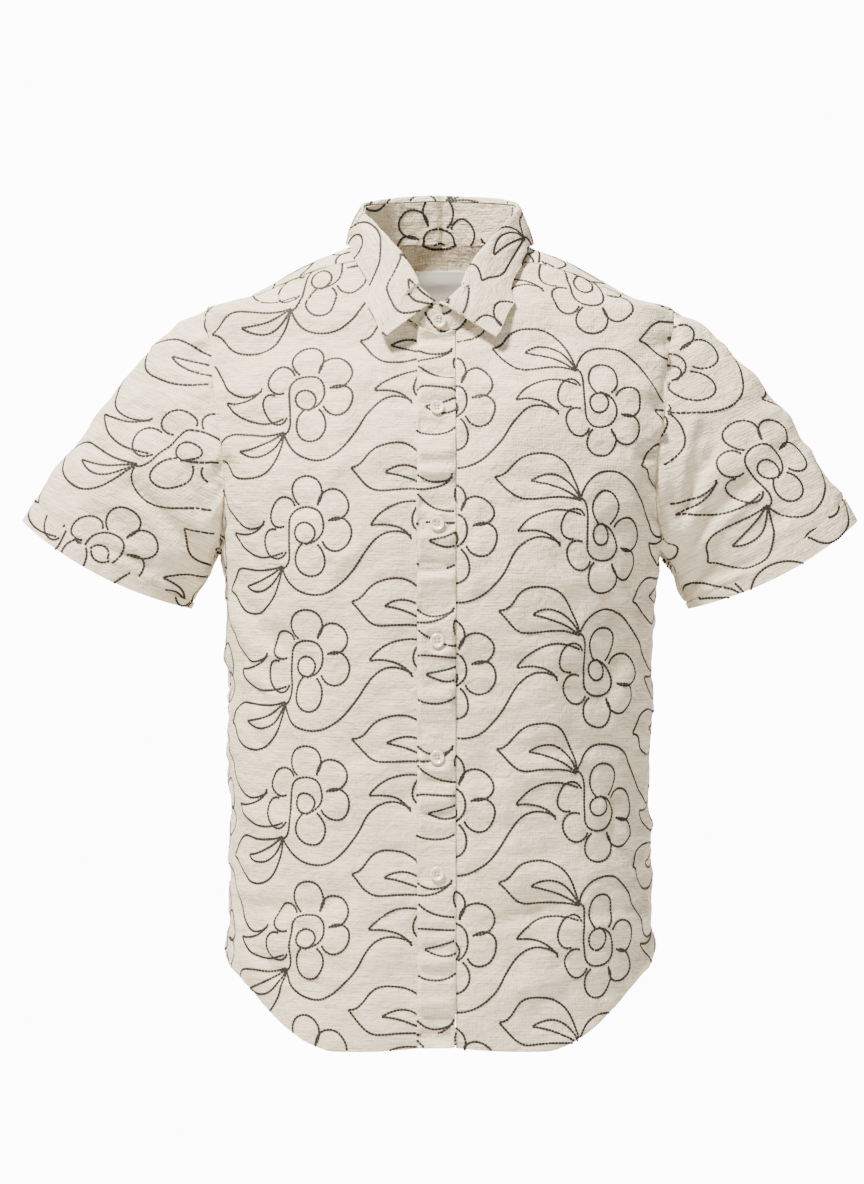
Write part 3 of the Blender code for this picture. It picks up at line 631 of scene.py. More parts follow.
def riseOf(z, face):
    # length up the cloth of the front or back, equal to z at the waist
    heights = np.linspace(bodyTable["z"][0], bodyTable["z"][-1], 300)
    depth = section(heights, face) * riseShare
    length = np.concatenate([[0], np.cumsum(np.hypot(np.diff(heights), np.diff(depth)))])
    atWaist = np.interp(bodyHeights["waist"], heights, length)
    return np.interp(z, heights, length - atWaist + bodyHeights["waist"])


def levelRun(points, axis):
    # length across the cloth along each row, without the part of it that runs along axis
    step = np.diff(points, axis=1)
    step = step - (step @ axis)[..., None] * axis
    run = np.cumsum(np.linalg.norm(step, axis=-1), axis=1)
    return np.concatenate([np.zeros((len(points), 1)), run], axis=1)


def bodyFlat(panel, face, startX=None, endX=None):
    points = panel["points"]
    across = levelRun(points, np.array([0.0, 0, 1]))
    if startX is not None:
        across = across + startX
    elif endX is not None:
        across = across - across[:, -1:] + endX
    else:
        across = across - across[:, across.shape[1] // 2][:, None]
    return np.stack([across, riseOf(points[..., 2], face)], axis=-1)


def sleeveFlat(panel, side):
    points = closedGrid(panel, panel["points"])
    edge = np.array(sleeves["cuffOuter"]) - np.array(sleeves["cuffInner"])
    axis = np.array([edge[1], 0, edge[0]])
    axis = axis * [-side, 0, 1] / np.linalg.norm(axis)
    turn, _ = sleeveRing()
    top = int(np.argmin(np.abs(turn)))
    if side < 0:
        top = len(turn) - 1 - top
    across = levelRun(points, axis)
    return np.stack([across - across[:, top][:, None], points @ axis], axis=-1)


def yokeFlat(panel):
    # across the shoulders, and from the back seam up over them to the front
    x, y, z = np.moveaxis(panel["points"], -1, 0)
    crest = onShoulders(x, np.zeros_like(x))[1]
    return np.stack([-x * yokeCut["stretch"], yokeCut["slope"] * (crest - z) * -np.sign(y) - y], axis=-1)


def bandFlat(panel):
    points = closedGrid(panel, panel["points"])
    across, up = runLengths(points, 1), runLengths(points, 0)
    return np.stack([across - across[:, across.shape[1] // 2][:, None], up], axis=-1)


# How the cloth lies: hills and ridges of the crumple are (size across and up), height, with a
# level and a steepness before the height of the ridges
feel = {
    "hills": (((70, 52), 0.9), ((30, 21), 0.8), ((17, 11), 0.45)),
    "ridges": ((38, 23), 0.6, 2.2, 0.55),
    "crumpleFade": 14.0, "creaseFade": 10.0, "creaseBend": 5.0,
    "seamHold": 2.2, "seamRoll": 0.9, "rollReach": 2.6, "puckerStretch": 0.15, "puckerSize": 30,
    "dipReach": 3.2, "puffHigh": 0.5, "puffReach": 14,
}


def noise(flat, size, seed):
    # smooth random hills of about that size, from -1 to 1
    lattice = np.random.default_rng(seed).uniform(-1, 1, (latticeSize, latticeSize))
    at = flat / np.asarray(size, float) + latticeShift
    cell = np.floor(at).astype(int)
    s, t = np.moveaxis(ease(at - cell), -1, 0)
    i, j = np.moveaxis(cell % latticeSize, -1, 0)
    low, high = (
        lattice[i, k] * (1 - s) + lattice[(i + 1) % latticeSize, k] * s for k in (j, (j + 1) % latticeSize)
    )
    return low * (1 - t) + high * t


def openFlat(panel):
    flat = panel["flat"]
    return flat[:, :-1] if panel["closed"] else flat


def edgeDistance(panel, edge):
    # distance from a named edge of the grid, and length along that edge, at each point
    across, up = runLengths(panel["points"], 1), runLengths(panel["points"], 0)
    away, along = {
        "bottom": (up, across[:1]), "top": (up[-1:] - up, across[-1:]),
        "left": (across, up[:, :1]), "right": (across[:, -1:] - across, up[:, -1:]),
    }[edge]
    return away, along + 0 * away


def edgeFade(panel, reach, edges=()):
    # nothing at the edges, everything from reach inward
    fade = 1.0
    for edge in edges or (("bottom", "top") if panel["closed"] else ("bottom", "top", "left", "right")):
        fade = fade * ease(edgeDistance(panel, edge)[0] / reach)
    return fade


def lift(panel, by):
    panel["points"] = panel["points"] + panel["out"] * by[..., None]


def pucker(panel, edge, depth, reach, pitch, seed):
    # short uneven ripples that run away from a seam, whose edge rolls in
    away, along = edgeDistance(panel, edge)
    flat = np.stack([along, away * feel["puckerStretch"]], axis=-1)
    wave = noise(flat, (pitch, feel["puckerSize"]), seed)
    fade = (1 - bell(away / feel["seamHold"])) * bell(away / reach)
    lift(panel, wave * fade * depth - feel["seamRoll"] * bell(away / feel["rollReach"]))


def crumple(panel, depth, seed):
    # the soft crumple of washed cotton and linen: hills, narrow ridges and a fine unevenness
    flat = openFlat(panel)
    (broad, broadHigh), (small, smallHigh), (fine, fineHigh) = feel["hills"]
    hills = noise(flat, broad, seed) * broadHigh + noise(flat, small, seed + 1) * smallHigh
    size, level, steep, ridgeHigh = feel["ridges"]
    ridges = level - np.abs(noise(flat, size, seed + 2)) * steep
    moved = hills + ridges * ridgeHigh + noise(flat, fine, seed + 3) * fineHigh
    lift(panel, moved * edgeFade(panel, feel["crumpleFade"]) * depth)


# Creases placed one by one from the photo, and like them where it can't be seen:
# x1 z1 x2 z2, half width, height (minus is a trough), face
creases = (
    (-150, -92, -140, -150, 5, 1.6, -1),
    (-122, -390, -112, -500, 5, 1.9, -1),
    (-172, -574, -70, -566, 6, -2.6, -1),
    (-60, -578, -24, -570, 5, -1.9, -1),
    (30, -586, 96, -570, 6, -2.6, -1),
    (92, -574, 178, -558, 7, 2.3, -1),
    (-178, -300, -110, -372, 8, -3.2, -1),
    (-184, -290, -146, -404, 7, 2.6, -1),
    (-180, -330, -128, -440, 7, -2.0, -1),
    (-186, -420, -150, -520, 8, 2.3, -1),
    (-120, -620, -60, -640, 6, 2.0, -1),
    (-168, -600, -120, -640, 6, -2.3, -1),
    (182, -296, 122, -356, 8, -3.0, -1),
    (186, -312, 150, -420, 8, 2.6, -1),
    (176, -430, 140, -530, 7, -2.3, -1),
    (60, -110, 96, -180, 7, 1.9, -1),
    (-58, -112, -88, -172, 7, 1.9, -1),
    (60, -250, 110, -290, 8, -1.9, -1),
    (-60, -260, -100, -312, 7, 1.9, -1),
    (40, -430, 90, -470, 8, 1.9, -1),
    (-40, -440, -96, -462, 7, -1.9, -1),
    (50, -640, 120, -628, 6, 1.9, -1),
    (196, -150, 150, -120, 7, -2.0, -1),
    (-194, -150, -150, -118, 7, -2.0, -1),
    (206, -256, 250, -168, 6, -3.6, -1),
    (220, -274, 286, -214, 6, 3.2, -1),
    (236, -292, 318, -258, 6, -3.0, -1),
    (208, -236, 226, -140, 6, 2.7, -1),
    (250, -120, 290, -190, 7, 2.0, -1),
    (-206, -256, -246, -160, 6, -3.6, -1),
    (-222, -276, -292, -208, 6, 3.2, -1),
    (-238, -294, -322, -262, 6, -3.0, -1),
    (-210, -232, -230, -132, 6, 2.7, -1),
    (-256, -118, -296, -186, 7, 2.0, -1),
    (-140, -130, -120, -300, 8, 2.6, 1),
    (130, -140, 112, -330, 8, -2.6, 1),
    (182, -290, 110, -380, 8, -3.2, 1),
    (-184, -292, -116, -366, 8, -3.0, 1),
    (186, -340, 140, -470, 8, 2.6, 1),
    (-184, -350, -136, -462, 7, 2.6, 1),
    (150, -560, 30, -552, 7, -2.6, 1),
    (-150, -572, -20, -560, 7, 2.6, 1),
    (-60, -420, 50, -436, 9, 2.0, 1),
    (100, -620, 40, -640, 6, 2.0, 1),
    (210, -250, 256, -160, 6, -3.4, 1),
    (228, -284, 300, -236, 6, 3.0, 1),
    (-212, -252, -252, -158, 6, -3.4, 1),
    (-228, -282, -304, -240, 6, 3.0, 1),
)


def crease(panel):
    # soft troughs and ridges placed one by one, seen from the front or the back
    flat = panel["points"][..., [0, 2]]
    depth = np.zeros(flat.shape[:2])
    for x1, z1, x2, z2, spread, high, face in creases:
        start = np.array([x1, z1], float)
        run = np.array([x2, z2], float) - start
        away = flat - start
        along = (away @ run) / (run @ run)
        bend = feel["creaseBend"] * np.sin(math.pi * np.clip(along, 0, 1)) * np.sign(x1 + z2)
        off = (away[..., 0] * run[1] - away[..., 1] * run[0]) / np.linalg.norm(run) + bend
        ends = ease((along + 0.05) / 0.3) * ease((1.05 - along) / 0.35)
        shown = np.clip(0.3 + 3.0 * face * panel["out"][..., 1], 0, 1)
        narrow = off / spread
        depth += high * ends * shown * (bell(narrow) - 0.35 * bell((narrow - 1.5) / 0.9))
    lift(panel, depth * edgeFade(panel, feel["creaseFade"]))


def flatTree(places):
    tree = KDTree(len(places))
    for i, (p, q) in enumerate(places):
        tree.insert((p, q, 0), i)
    tree.balance()
    return tree


def stitchDip(panel, mids, depth):
    # the cloth is drawn down along each stitched line and puffs up between lines
    if not len(mids):
        return
    tree, flat = flatTree(mids), openFlat(panel)
    away = np.array([tree.find((p, q, 0))[2] for p, q in flat.reshape(-1, 2)]).reshape(flat.shape[:2])
    puff = feel["puffHigh"] * np.clip(away / feel["puffReach"], 0, 1)
    lift(panel, depth * puff - depth * bell(away / feel["dipReach"]))


def settle(panel):
    panel["out"] = gridOut(panel["points"], panel["closed"])


# Embroidery: columns of flowers, every other one upside down, and the stitches. Petals are
# direction in degrees, tip, half width, foot and spread at the foot
embroidery = {
    "columnStep": 134.0, "rowStep": 115.5, "oddDrop": 7.0, "wide": 1.05, "wander": 2.4,
    "pitch": 2.9, "gap": -0.1, "width": 2.2, "high": 0.55,
    "petals": (
        (95, 43, 12.5, 18, 7.8),
        (42, 40, 12.5, 17, 8.2),
        (-16, 36, 13.0, 14, 8.4),
        (-88, 43, 11.5, 15, 6.3),
        (-153, 43, 12.0, 27, 10.5),
        (155, 37, 11.5, 19, 8.8),
    ),
}


def bezier(a, b, c, d, count=14):
    a, b, c, d = (np.array(p, float) for p in (a, b, c, d))
    t = np.linspace(0, 1, count)[:, None]
    return a * (1 - t) ** 3 + 3 * b * t * (1 - t) ** 2 + 3 * c * t * t * (1 - t) + d * t**3


def chain(*points):
    # Bezier arcs joined end to end: a point, then two handles and a point for each arc
    arcs = [bezier(*points[i : i + 4]) for i in range(0, len(points) - 3, 3)]
    return np.concatenate([arcs[0]] + [arc[1:] for arc in arcs[1:]])


def petal(direction, tip, half, foot, spread):
    # one petal in mm: narrow at its foot, round at its tip, out along its own direction
    long = tip - foot
    line = chain(
        (foot, -spread), (foot + 0.3 * long, -1.4 * half), (tip, -1.2 * half), (tip, 0),
        (tip, 1.2 * half), (foot + 0.3 * long, 1.4 * half), (foot, spread),
    )
    c, s = math.cos(math.radians(direction)), math.sin(math.radians(direction))
    return line @ np.array([[c, s], [-s, c]])


def motif():
    # one flower with its leaf, crescent and long stem, in mm from the middle of the flower
    flower = [petal(*row) for row in embroidery["petals"]]
    stem = chain(
        (-22, -37), (-19, -37), (-16, -32), (-16.5, -24),
        (-17, -14), (-17, -6), (-17, 2),
        (-17, 11), (-11, 16), (-2, 16),
        (8, 16), (12, 10), (12, 1),
        (12, -8), (5, -15), (-3, -15),
        (-9, -15), (-12, -10), (-12, -6),
        (-12, 0), (-8, 3), (-4, 3),
        (1, 3), (5, -1), (5, -6),
        (5, -10), (2, -14), (-3, -16),
    )
    arch = chain(
        (-22, -38), (-18, -51), (-9, -59), (5, -59),
        (24, -59), (36, -41), (47, -22),
        (57, -6), (67, 2), (embroidery["columnStep"] / embroidery["wide"] - 41, -9),
    )
    leaf = chain(
        (-22, -35), (-38, -41), (-55, -37), (-68, -37),
        (-79, -38), (-84, -50), (-92, -57),
        (-76, -57), (-82, -77), (-55, -77),
        (-36, -77), (-27, -60), (-22, -35),
    )
    vein = chain(
        (-22, -35), (-33, -44), (-46, -50), (-64, -53),
        (-48, -63), (-33, -60), (-22, -35),
    )
    crescent = chain(
        (-41, 5), (-46, -6), (-61, -11), (-76, -8),
        (-65, -24), (-46, -33), (-22, -23),
    )
    return [*flower, stem, arch, leaf, vein, crescent]


def warp(line, seed):
    # hand-guided lines wander a little, and neighbours wander alike so that they still meet
    shift = np.stack([noise(line, 52, seed), noise(line, 52, seed + 1)], axis=-1) * embroidery["wander"]
    return line + shift + np.stack([noise(line, 17, seed + 2), noise(line, 17, seed + 3)], axis=-1) * 0.8


def patternLines(low, high, across, up, seed):
    # the repeat laid over a flat area: every other column is upside down
    lines, repeat = [], motif()
    start, step = np.array([across, up]), np.array([embroidery["columnStep"], embroidery["rowStep"]])
    (column1, row1), (column2, row2) = (np.floor((v - start) / step).astype(int) for v in (low, high))
    for column in range(column1 - 1, column2 + 3):
        flip, drop = (-1, embroidery["oddDrop"]) if column % 2 else (1, 0)
        for row in range(row1 - 1, row2 + 3):
            middle = start + step * [column, row] - [0, drop]
            lines += [warp(line * [embroidery["wide"], flip] + middle, seed) for line in repeat]
    return lines


def stitchesOn(lines, pitch, gap):
    # flat ends of the stitches along each line
    starts, ends = [np.zeros((0, 2))], [np.zeros((0, 2))]
    for line in lines:
        length = runLengths(line, 0)
        at = np.linspace(0, length[-1], max(1, round(length[-1] / pitch)) + 1)
        for found, s in ((starts, at[:-1] + gap / 2), (ends, at[1:] - gap / 2)):
            found.append(np.stack([np.interp(s, length, line[:, k]) for k in (0, 1)], axis=-1))
    return np.concatenate(starts), np.concatenate(ends)


def crossed(a, b):
    return a[:, 0] * b[:, 1] - a[:, 1] * b[:, 0]


def sampled(grid, u, v):
    # the grid's values at fractional rows u and columns v
    i = np.clip(np.floor(u).astype(int), 0, grid.shape[0] - 2)
    j = np.clip(np.floor(v).astype(int), 0, grid.shape[1] - 2)
    s, t = (u - i)[:, None], (v - j)[:, None]
    return (
        grid[i, j] * (1 - s) * (1 - t) + grid[i + 1, j] * s * (1 - t)
        + grid[i, j + 1] * (1 - s) * t + grid[i + 1, j + 1] * s * t
    )


def located(panel, wanted):
    # rows and columns of the flat places, and which of them are on the panel
    flat = panel["flat"]
    high, wide = flat.shape[:2]
    tree = flatTree(flat.reshape(-1, 2))
    near = np.array([tree.find((p, q, 0))[1] for p, q in wanted]).astype(int)
    u, v = (near // wide).astype(float), (near % wide).astype(float)
    byRow, byColumn = np.gradient(flat, axis=0), np.gradient(flat, axis=1)
    for _ in range(4):
        miss = wanted - sampled(flat, u, v)
        a, b = sampled(byRow, u, v), sampled(byColumn, u, v)
        area = crossed(a, b)
        area = np.where(np.abs(area) < 1e-6, 1e-6, area)
        u = np.clip(u + crossed(miss, b) / area, 0, high - 1)
        v = np.clip(v + crossed(a, miss) / area, 0, wide - 1)
    miss = np.linalg.norm(wanted - sampled(flat, u, v), axis=-1)
    return u, v, miss < onPanel


def closedGrid(panel, grid):
    return np.concatenate([grid, grid[:, :1]], axis=1) if panel["closed"] else grid


def threadStitches(panel, starts, ends, width, high, sunk=0.3):
    # each stitch is a slim bar, fullest in the middle, that dives into the cloth at its ends
    u, v, kept = located(panel, (starts + ends) / 2)
    u, v, half = u[kept], v[kept], (ends[kept] - starts[kept]) / 2
    surface, outward = (closedGrid(panel, panel[name]) for name in ("points", "out"))
    a, b = (sampled(np.gradient(panel["flat"], axis=k), u, v) for k in (0, 1))
    byRow, byColumn = (sampled(np.gradient(surface, axis=k), u, v) for k in (0, 1))
    rows, columns = crossed(half, b) / crossed(a, b), crossed(a, half) / crossed(a, b)
    reach = byRow * rows[:, None] + byColumn * columns[:, None]
    return stitchBars(sampled(surface, u, v), reach, unit(sampled(outward, u, v)), width, high, sunk)


def stitchBars(middle, reach, out, width, high, sunk):
    return {
        "middle": middle, "reach": reach, "side": unit(np.cross(out, reach)), "out": out,
        "width": width, "high": high, "sunk": sunk,
    }


def stitchMesh(name, groups, material):
    # ten points to a stitch: its tip, two rings of four, and its other tip
    ring = ((1, 2), (2, 3), (3, 4), (4, 1))
    shape = [(q, p, 0) for p, q in ring] + [(q, q + 4, p + 4, p) for p, q in ring]
    shape += [(q + 4, 9, p + 4) for p, q in ring]
    across = np.array([0, 0, 0.25, 0.5, 0.75, 0, 0.25, 0.5, 0.75, 0])
    along = np.array([0] + [0.45] * 4 + [1.55] * 4 + [2.0])
    points, faces, coordinates, start = [], [], [], 0
    for group in groups:
        middle, reach, side, out = (group[key] for key in ("middle", "reach", "side", "out"))
        wide, high, count = group["width"] / 2, group["high"], len(middle)
        rows = [middle - reach - out * 0.1]
        for share in (-0.78, 0.78):
            at = middle + reach * share
            rows += [at - side * wide + out * high * 0.35, at + out * high,
                     at + side * wide + out * high * 0.35, at - out * group["sunk"]]
        rows.append(middle + reach - out * 0.1)
        points.append(np.stack(rows, axis=1).reshape(-1, 3))
        length = np.linalg.norm(reach, axis=-1)[:, None]
        place = np.stack([length * along, np.ones_like(length) * across], axis=-1)
        coordinates.append(place.reshape(-1, 2))
        first = (start + np.arange(count) * 10)[:, None]
        faces += [first + np.array(face)[None] for face in shape]
        start += count * 10
    return meshObject(name, np.concatenate(points), faces, material, np.concatenate(coordinates)[:, None])


def meshObject(name, points, faceGroups, material, coordinates, smoothTo=60):
    # faceGroups are arrays of faces with equal numbers of corners; coordinates go to the UV map
    mesh = bpy.data.meshes.new(name)
    counts = np.concatenate([np.full(len(group), group.shape[1]) for group in faceGroups])
    corners = np.concatenate([group.ravel() for group in faceGroups]).astype(np.int32)
    mesh.vertices.add(len(points))
    mesh.vertices.foreach_set("co", (points * mm).astype(np.float32).ravel())
    mesh.loops.add(len(corners))
    mesh.loops.foreach_set("vertex_index", corners)
    mesh.polygons.add(len(counts))
    mesh.polygons.foreach_set("loop_start", np.concatenate([[0], np.cumsum(counts)[:-1]]).astype(np.int32))
    layer = mesh.uv_layers.new(name=flatMap)
    uv = coordinates if len(coordinates) == len(corners) else coordinates.reshape(-1, 2)[corners]
    layer.uv.foreach_set("vector", uv.astype(np.float32).ravel())
    mesh.update(calc_edges=True)
    mesh.validate()
    mesh.shade_smooth()
    mesh.set_sharp_from_angle(angle=math.radians(smoothTo))
    mesh.materials.append(material)
    obj = bpy.data.objects.new(name, mesh)
    bpy.context.scene.collection.objects.link(obj)
    return obj


def clothObject(name, panel, material):
    # a closed thin wall of cloth under the panel's outer face
    points = panel["points"]
    high, wide = points.shape[:2]
    inner = points - panel["wall"] * panel["out"]
    across = wide if panel["closed"] else wide - 1
    row, column = (a.ravel() for a in np.meshgrid(np.arange(high - 1), np.arange(across), indexing="ij"))
    beside = (column + 1) % wide
    flat = panel["flat"]
    top = np.stack([row * wide + column, row * wide + beside, (row + 1) * wide + beside,
                    (row + 1) * wide + column], axis=1)
    topFlat = np.stack([flat[row, column], flat[row, column + 1], flat[row + 1, column + 1],
                        flat[row + 1, column]], axis=1)
    depth = high * wide
    groups, maps = [top, top[:, ::-1] + depth], [topFlat, topFlat[:, ::-1]]

    def rim(a, b, flatA, flatB, turn):
        quad = np.stack([a + depth, b + depth, b, a], axis=1)[:, ::turn]
        groups.append(quad)
        maps.append(np.stack([flatA, flatB, flatB, flatA], axis=1)[:, ::turn])

    edge = np.arange(across)
    for at, turn in ((0, 1), (high - 1, -1)):
        rim(at * wide + edge, at * wide + (edge + 1) % wide, flat[at, edge], flat[at, edge + 1], turn)
    if not panel["closed"]:
        edge = np.arange(high - 1)
        for at, turn in ((0, -1), (wide - 1, 1)):
            rim(edge * wide + at, (edge + 1) * wide + at, flat[edge, at], flat[edge + 1, at], turn)
    uv = np.concatenate([m.reshape(-1, 2) for m in maps])
    both = np.concatenate([points.reshape(-1, 3), inner.reshape(-1, 3)])
    return meshObject(name, both, groups, material, uv, 50)


def linear(colour):
    # sRGB hex to the linear values that shaders work in
    parts = [int(colour[i : i + 2], 16) / 255 for i in (1, 3, 5)]
    return (*(p / 12.92 if p <= 0.04045 else ((p + 0.055) / 1.055) ** 2.4 for p in parts), 1)


def node(tree, kind, inputs, **settings):
    # adds one node with its settings; each input is a link or a fixed value
    made = tree.nodes.new(kind)
    for name, value in settings.items():
        setattr(made, name, value)
    for name, value in inputs.items():
        if isinstance(value, bpy.types.NodeSocket):
            tree.links.new(value, made.inputs[name])
        else:
            made.inputs[name].default_value = value
    return made.outputs


def newMaterial(name):
    material = bpy.data.materials.new(name)
    material.use_nodes = True
    material.node_tree.nodes.clear()
    return material, material.node_tree


def washedCottonLinen():
    # plain-woven cotton and linen, washed and left unpressed: a matt oatmeal cloth whose uneven
    # weft yarns show as short level streaks, with fibre specks and a soft bloom at grazing angles
    look = {
        # shade is the darker tone of soft blotches: partly the cloth's own uneven tone, partly painted
        # shade for small crumples
        "cloth": "#dfd7c5", "shade": "#c9bea7", "slubLight": "#eee8da", "slubDark": "#a3967c",
        "fleck": "#786a50", "yarns": 1.3,
        # how long and how high each pattern is in mm, its detail, roughness and distortion
        "patterns": {
            "cloudsAndShade": (90, 70, 3.0, 0.6, 0.0), "mottleAndShade": (16, 8, 4.0, 0.65, 0.3),
            "slubs": (26.0, 1.1, 3.0, 0.62, 0.15), "warps": (1.32, 20.8, 2.0, 0.5, 0.0),
            "flecks": (5.0, 0.9, 1.0, 0.5, 0.0), "crumple": (9, 7, 3.0, 0.6, 0.4),
        },
        # pattern, where its colour starts and is full, how much of it at most, colour
        "layers": (
            # the clouds and mottle rows lay the shade colour in soft blotches: partly the cloth's uneven
            # tone, partly painted shade in place of the shading of small crumples
            ("cloudsAndShade", 0.35, 0.68, 0.6, "shade"), ("mottleAndShade", 0.4, 0.68, 0.5, "shade"),
            ("slubs", 0.53, 0.72, 0.7, "slubDark"), ("slubs", 0.45, 0.28, 0.65, "slubLight"),
            ("warps", 0.6, 0.8, 0.3, "slubDark"), ("flecks", 0.72, 0.8, 0.5, "fleck"),
        ),
    }
    material, tree = newMaterial("washed_cotton_linen")
    flat = node(tree, "ShaderNodeUVMap", {}, uv_map=flatMap)["UV"]
    pattern = {}
    for name, (across, up, detail, rough, distort) in look["patterns"].items():
        at = node(tree, "ShaderNodeMapping", {"Vector": flat, "Scale": (1 / across, 1 / up, 1)})["Vector"]
        pattern[name] = node(tree, "ShaderNodeTexNoise", {
            "Vector": at, "Scale": 1.0, "Detail": detail, "Roughness": rough, "Distortion": distort,
        }, noise_dimensions="2D")["Fac"]
    colour = linear(look["cloth"])
    for name, start, full, most, tint in look["layers"]:
        share = node(tree, "ShaderNodeMapRange", {
            "Value": pattern[name], "From Min": start, "From Max": full, "To Max": most,
        })["Result"]
        colour = node(tree, "ShaderNodeMix", {0: share, 6: colour, 7: linear(look[tint])},
                      data_type="RGBA")[2]
    # the yarns are 0.6 mm apart in the real cloth; twice that here, so that a render still holds them
    weave = []
    for scale in ((1 / look["yarns"], 0.02, 1), (0.02, 1 / look["yarns"], 1)):
        at = node(tree, "ShaderNodeMapping", {"Vector": flat, "Scale": scale})["Vector"]
        weave.append(node(tree, "ShaderNodeTexWave", {
            "Vector": at, "Scale": 0.32, "Distortion": 1.4, "Detail": 1.0,
        }, bands_direction="DIAGONAL")["Fac"])
    yarns = node(tree, "ShaderNodeMath", {0: weave[0], 1: weave[1]}, operation="MAXIMUM")[0]
    relief = node(tree, "ShaderNodeMath", {0: pattern["slubs"], 1: yarns}, operation="ADD")[0]
    normal = node(tree, "ShaderNodeBump", {"Height": relief, "Strength": 0.5, "Distance": 0.0005})["Normal"]
    normal = node(tree, "ShaderNodeBump", {
        "Height": pattern["crumple"], "Normal": normal, "Strength": 0.6, "Distance": 0.0036,
    })["Normal"]
    surface = node(tree, "ShaderNodeBsdfPrincipled", {
        "Base Color": colour, "Normal": normal, "Roughness": 0.88, "IOR": 1.46, "Metallic": 0.0,
        "Specular IOR Level": 0.25, "Sheen Weight": 0.1, "Sheen Roughness": 0.5,
        "Sheen Tint": linear("#fffaf0"),
    })["BSDF"]
    node(tree, "ShaderNodeOutputMaterial", {"Surface": surface})
    return material


def twistedThread(name, dark, light, sheen):
    # two-ply machine thread: the plies show as fine slanting stripes with a soft shine
    material, tree = newMaterial(name)
    flat = node(tree, "ShaderNodeUVMap", {}, uv_map=flatMap)["UV"]
    at = node(tree, "ShaderNodeMapping", {
        "Vector": flat, "Scale": (1.0, 2.0, 1), "Rotation": (0, 0, 0.5),
    })["Vector"]
    plies = node(tree, "ShaderNodeTexWave", {"Vector": at, "Scale": 0.45, "Distortion": 0.6})["Fac"]
    place = node(tree, "ShaderNodeNewGeometry", {})["Position"]
    fluff = node(tree, "ShaderNodeTexNoise", {"Vector": place, "Scale": 900.0, "Detail": 2.0})["Fac"]
    shade = node(tree, "ShaderNodeMath", {0: plies, 1: fluff}, operation="MULTIPLY")[0]
    share = node(tree, "ShaderNodeMapRange", {"Value": shade, "From Min": 0.1, "From Max": 0.6})["Result"]
    colour = node(tree, "ShaderNodeMix", {0: share, 6: linear(dark), 7: linear(light)}, data_type="RGBA")[2]
    normal = node(tree, "ShaderNodeBump", {"Height": plies, "Strength": 0.5, "Distance": 0.00015})["Normal"]
    surface = node(tree, "ShaderNodeBsdfPrincipled", {
        "Base Color": colour, "Normal": normal, "Roughness": 0.7, "IOR": 1.5, "Metallic": 0.0,
        "Sheen Weight": sheen, "Sheen Roughness": 0.4,
    })["BSDF"]
    node(tree, "ShaderNodeOutputMaterial", {"Surface": surface})
    return material


def castResin():
    # cast polyester resin, turned and tumbled: pearly cream swirls under a clear gloss
    material, tree = newMaterial("cast_pearl_resin")
    place = node(tree, "ShaderNodeTexCoord", {})["Object"]
    swirl = node(tree, "ShaderNodeTexNoise", {
        "Vector": place, "Scale": 160.0, "Detail": 3.0, "Distortion": 1.6,
    })["Fac"]
    share = node(tree, "ShaderNodeMapRange", {"Value": swirl, "From Min": 0.35, "From Max": 0.65})["Result"]
    colour = node(tree, "ShaderNodeMix", {0: share, 6: linear("#ece6d8"), 7: linear("#cfc8b8")},
                  data_type="RGBA")[2]
    rough = node(tree, "ShaderNodeMapRange", {
        "Value": swirl, "From Min": 0.3, "From Max": 0.7, "To Min": 0.18, "To Max": 0.3,
    })["Result"]
    surface = node(tree, "ShaderNodeBsdfPrincipled", {
        "Base Color": colour, "Roughness": rough, "IOR": 1.56, "Metallic": 0.0, "Coat Weight": 0.4,
        "Coat Roughness": 0.12, "Subsurface Weight": 0.15, "Subsurface Scale": 0.002,
    })["BSDF"]
    node(tree, "ShaderNodeOutputMaterial", {"Surface": surface})
    return material


def wovenTape():
    # satin-woven label tape, bare: pale grey-blue with a fine level rib
    material, tree = newMaterial("woven_label_tape")
    flat = node(tree, "ShaderNodeUVMap", {}, uv_map=flatMap)["UV"]
    at = node(tree, "ShaderNodeMapping", {"Vector": flat, "Scale": (0.05, 1.0, 1)})["Vector"]
    rib = node(tree, "ShaderNodeTexWave", {"Vector": at, "Scale": 0.5, "Distortion": 0.3},
               bands_direction="Y")["Fac"]
    share = node(tree, "ShaderNodeMapRange", {"Value": rib, "From Min": 0.2, "From Max": 0.8})["Result"]
    colour = node(tree, "ShaderNodeMix", {0: share, 6: linear("#d3d9db"), 7: linear("#eceff0")},
                  data_type="RGBA")[2]
    normal = node(tree, "ShaderNodeBump", {"Height": rib, "Strength": 0.4, "Distance": 0.0002})["Normal"]
    surface = node(tree, "ShaderNodeBsdfPrincipled", {
        "Base Color": colour, "Normal": normal, "Roughness": 0.55, "IOR": 1.5, "Metallic": 0.0,
        "Sheen Weight": 0.2,
    })["BSDF"]
    node(tree, "ShaderNodeOutputMaterial", {"Surface": surface})
    return material


def mattPaint():
    # the studio's painted floor: matt and nearly white, with nothing to draw the eye
    material, tree = newMaterial("studio_floor_paint")
    surface = node(tree, "ShaderNodeBsdfPrincipled", {"Base Color": linear("#f7f7f5"), "Roughness": 0.9})
    node(tree, "ShaderNodeOutputMaterial", {"Surface": surface["BSDF"]})
    return material


def makePiece(name, cadNode, panel, material):
    piece = clothObject(name, panel, material)
    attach(piece, "root")
    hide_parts(cadNode)


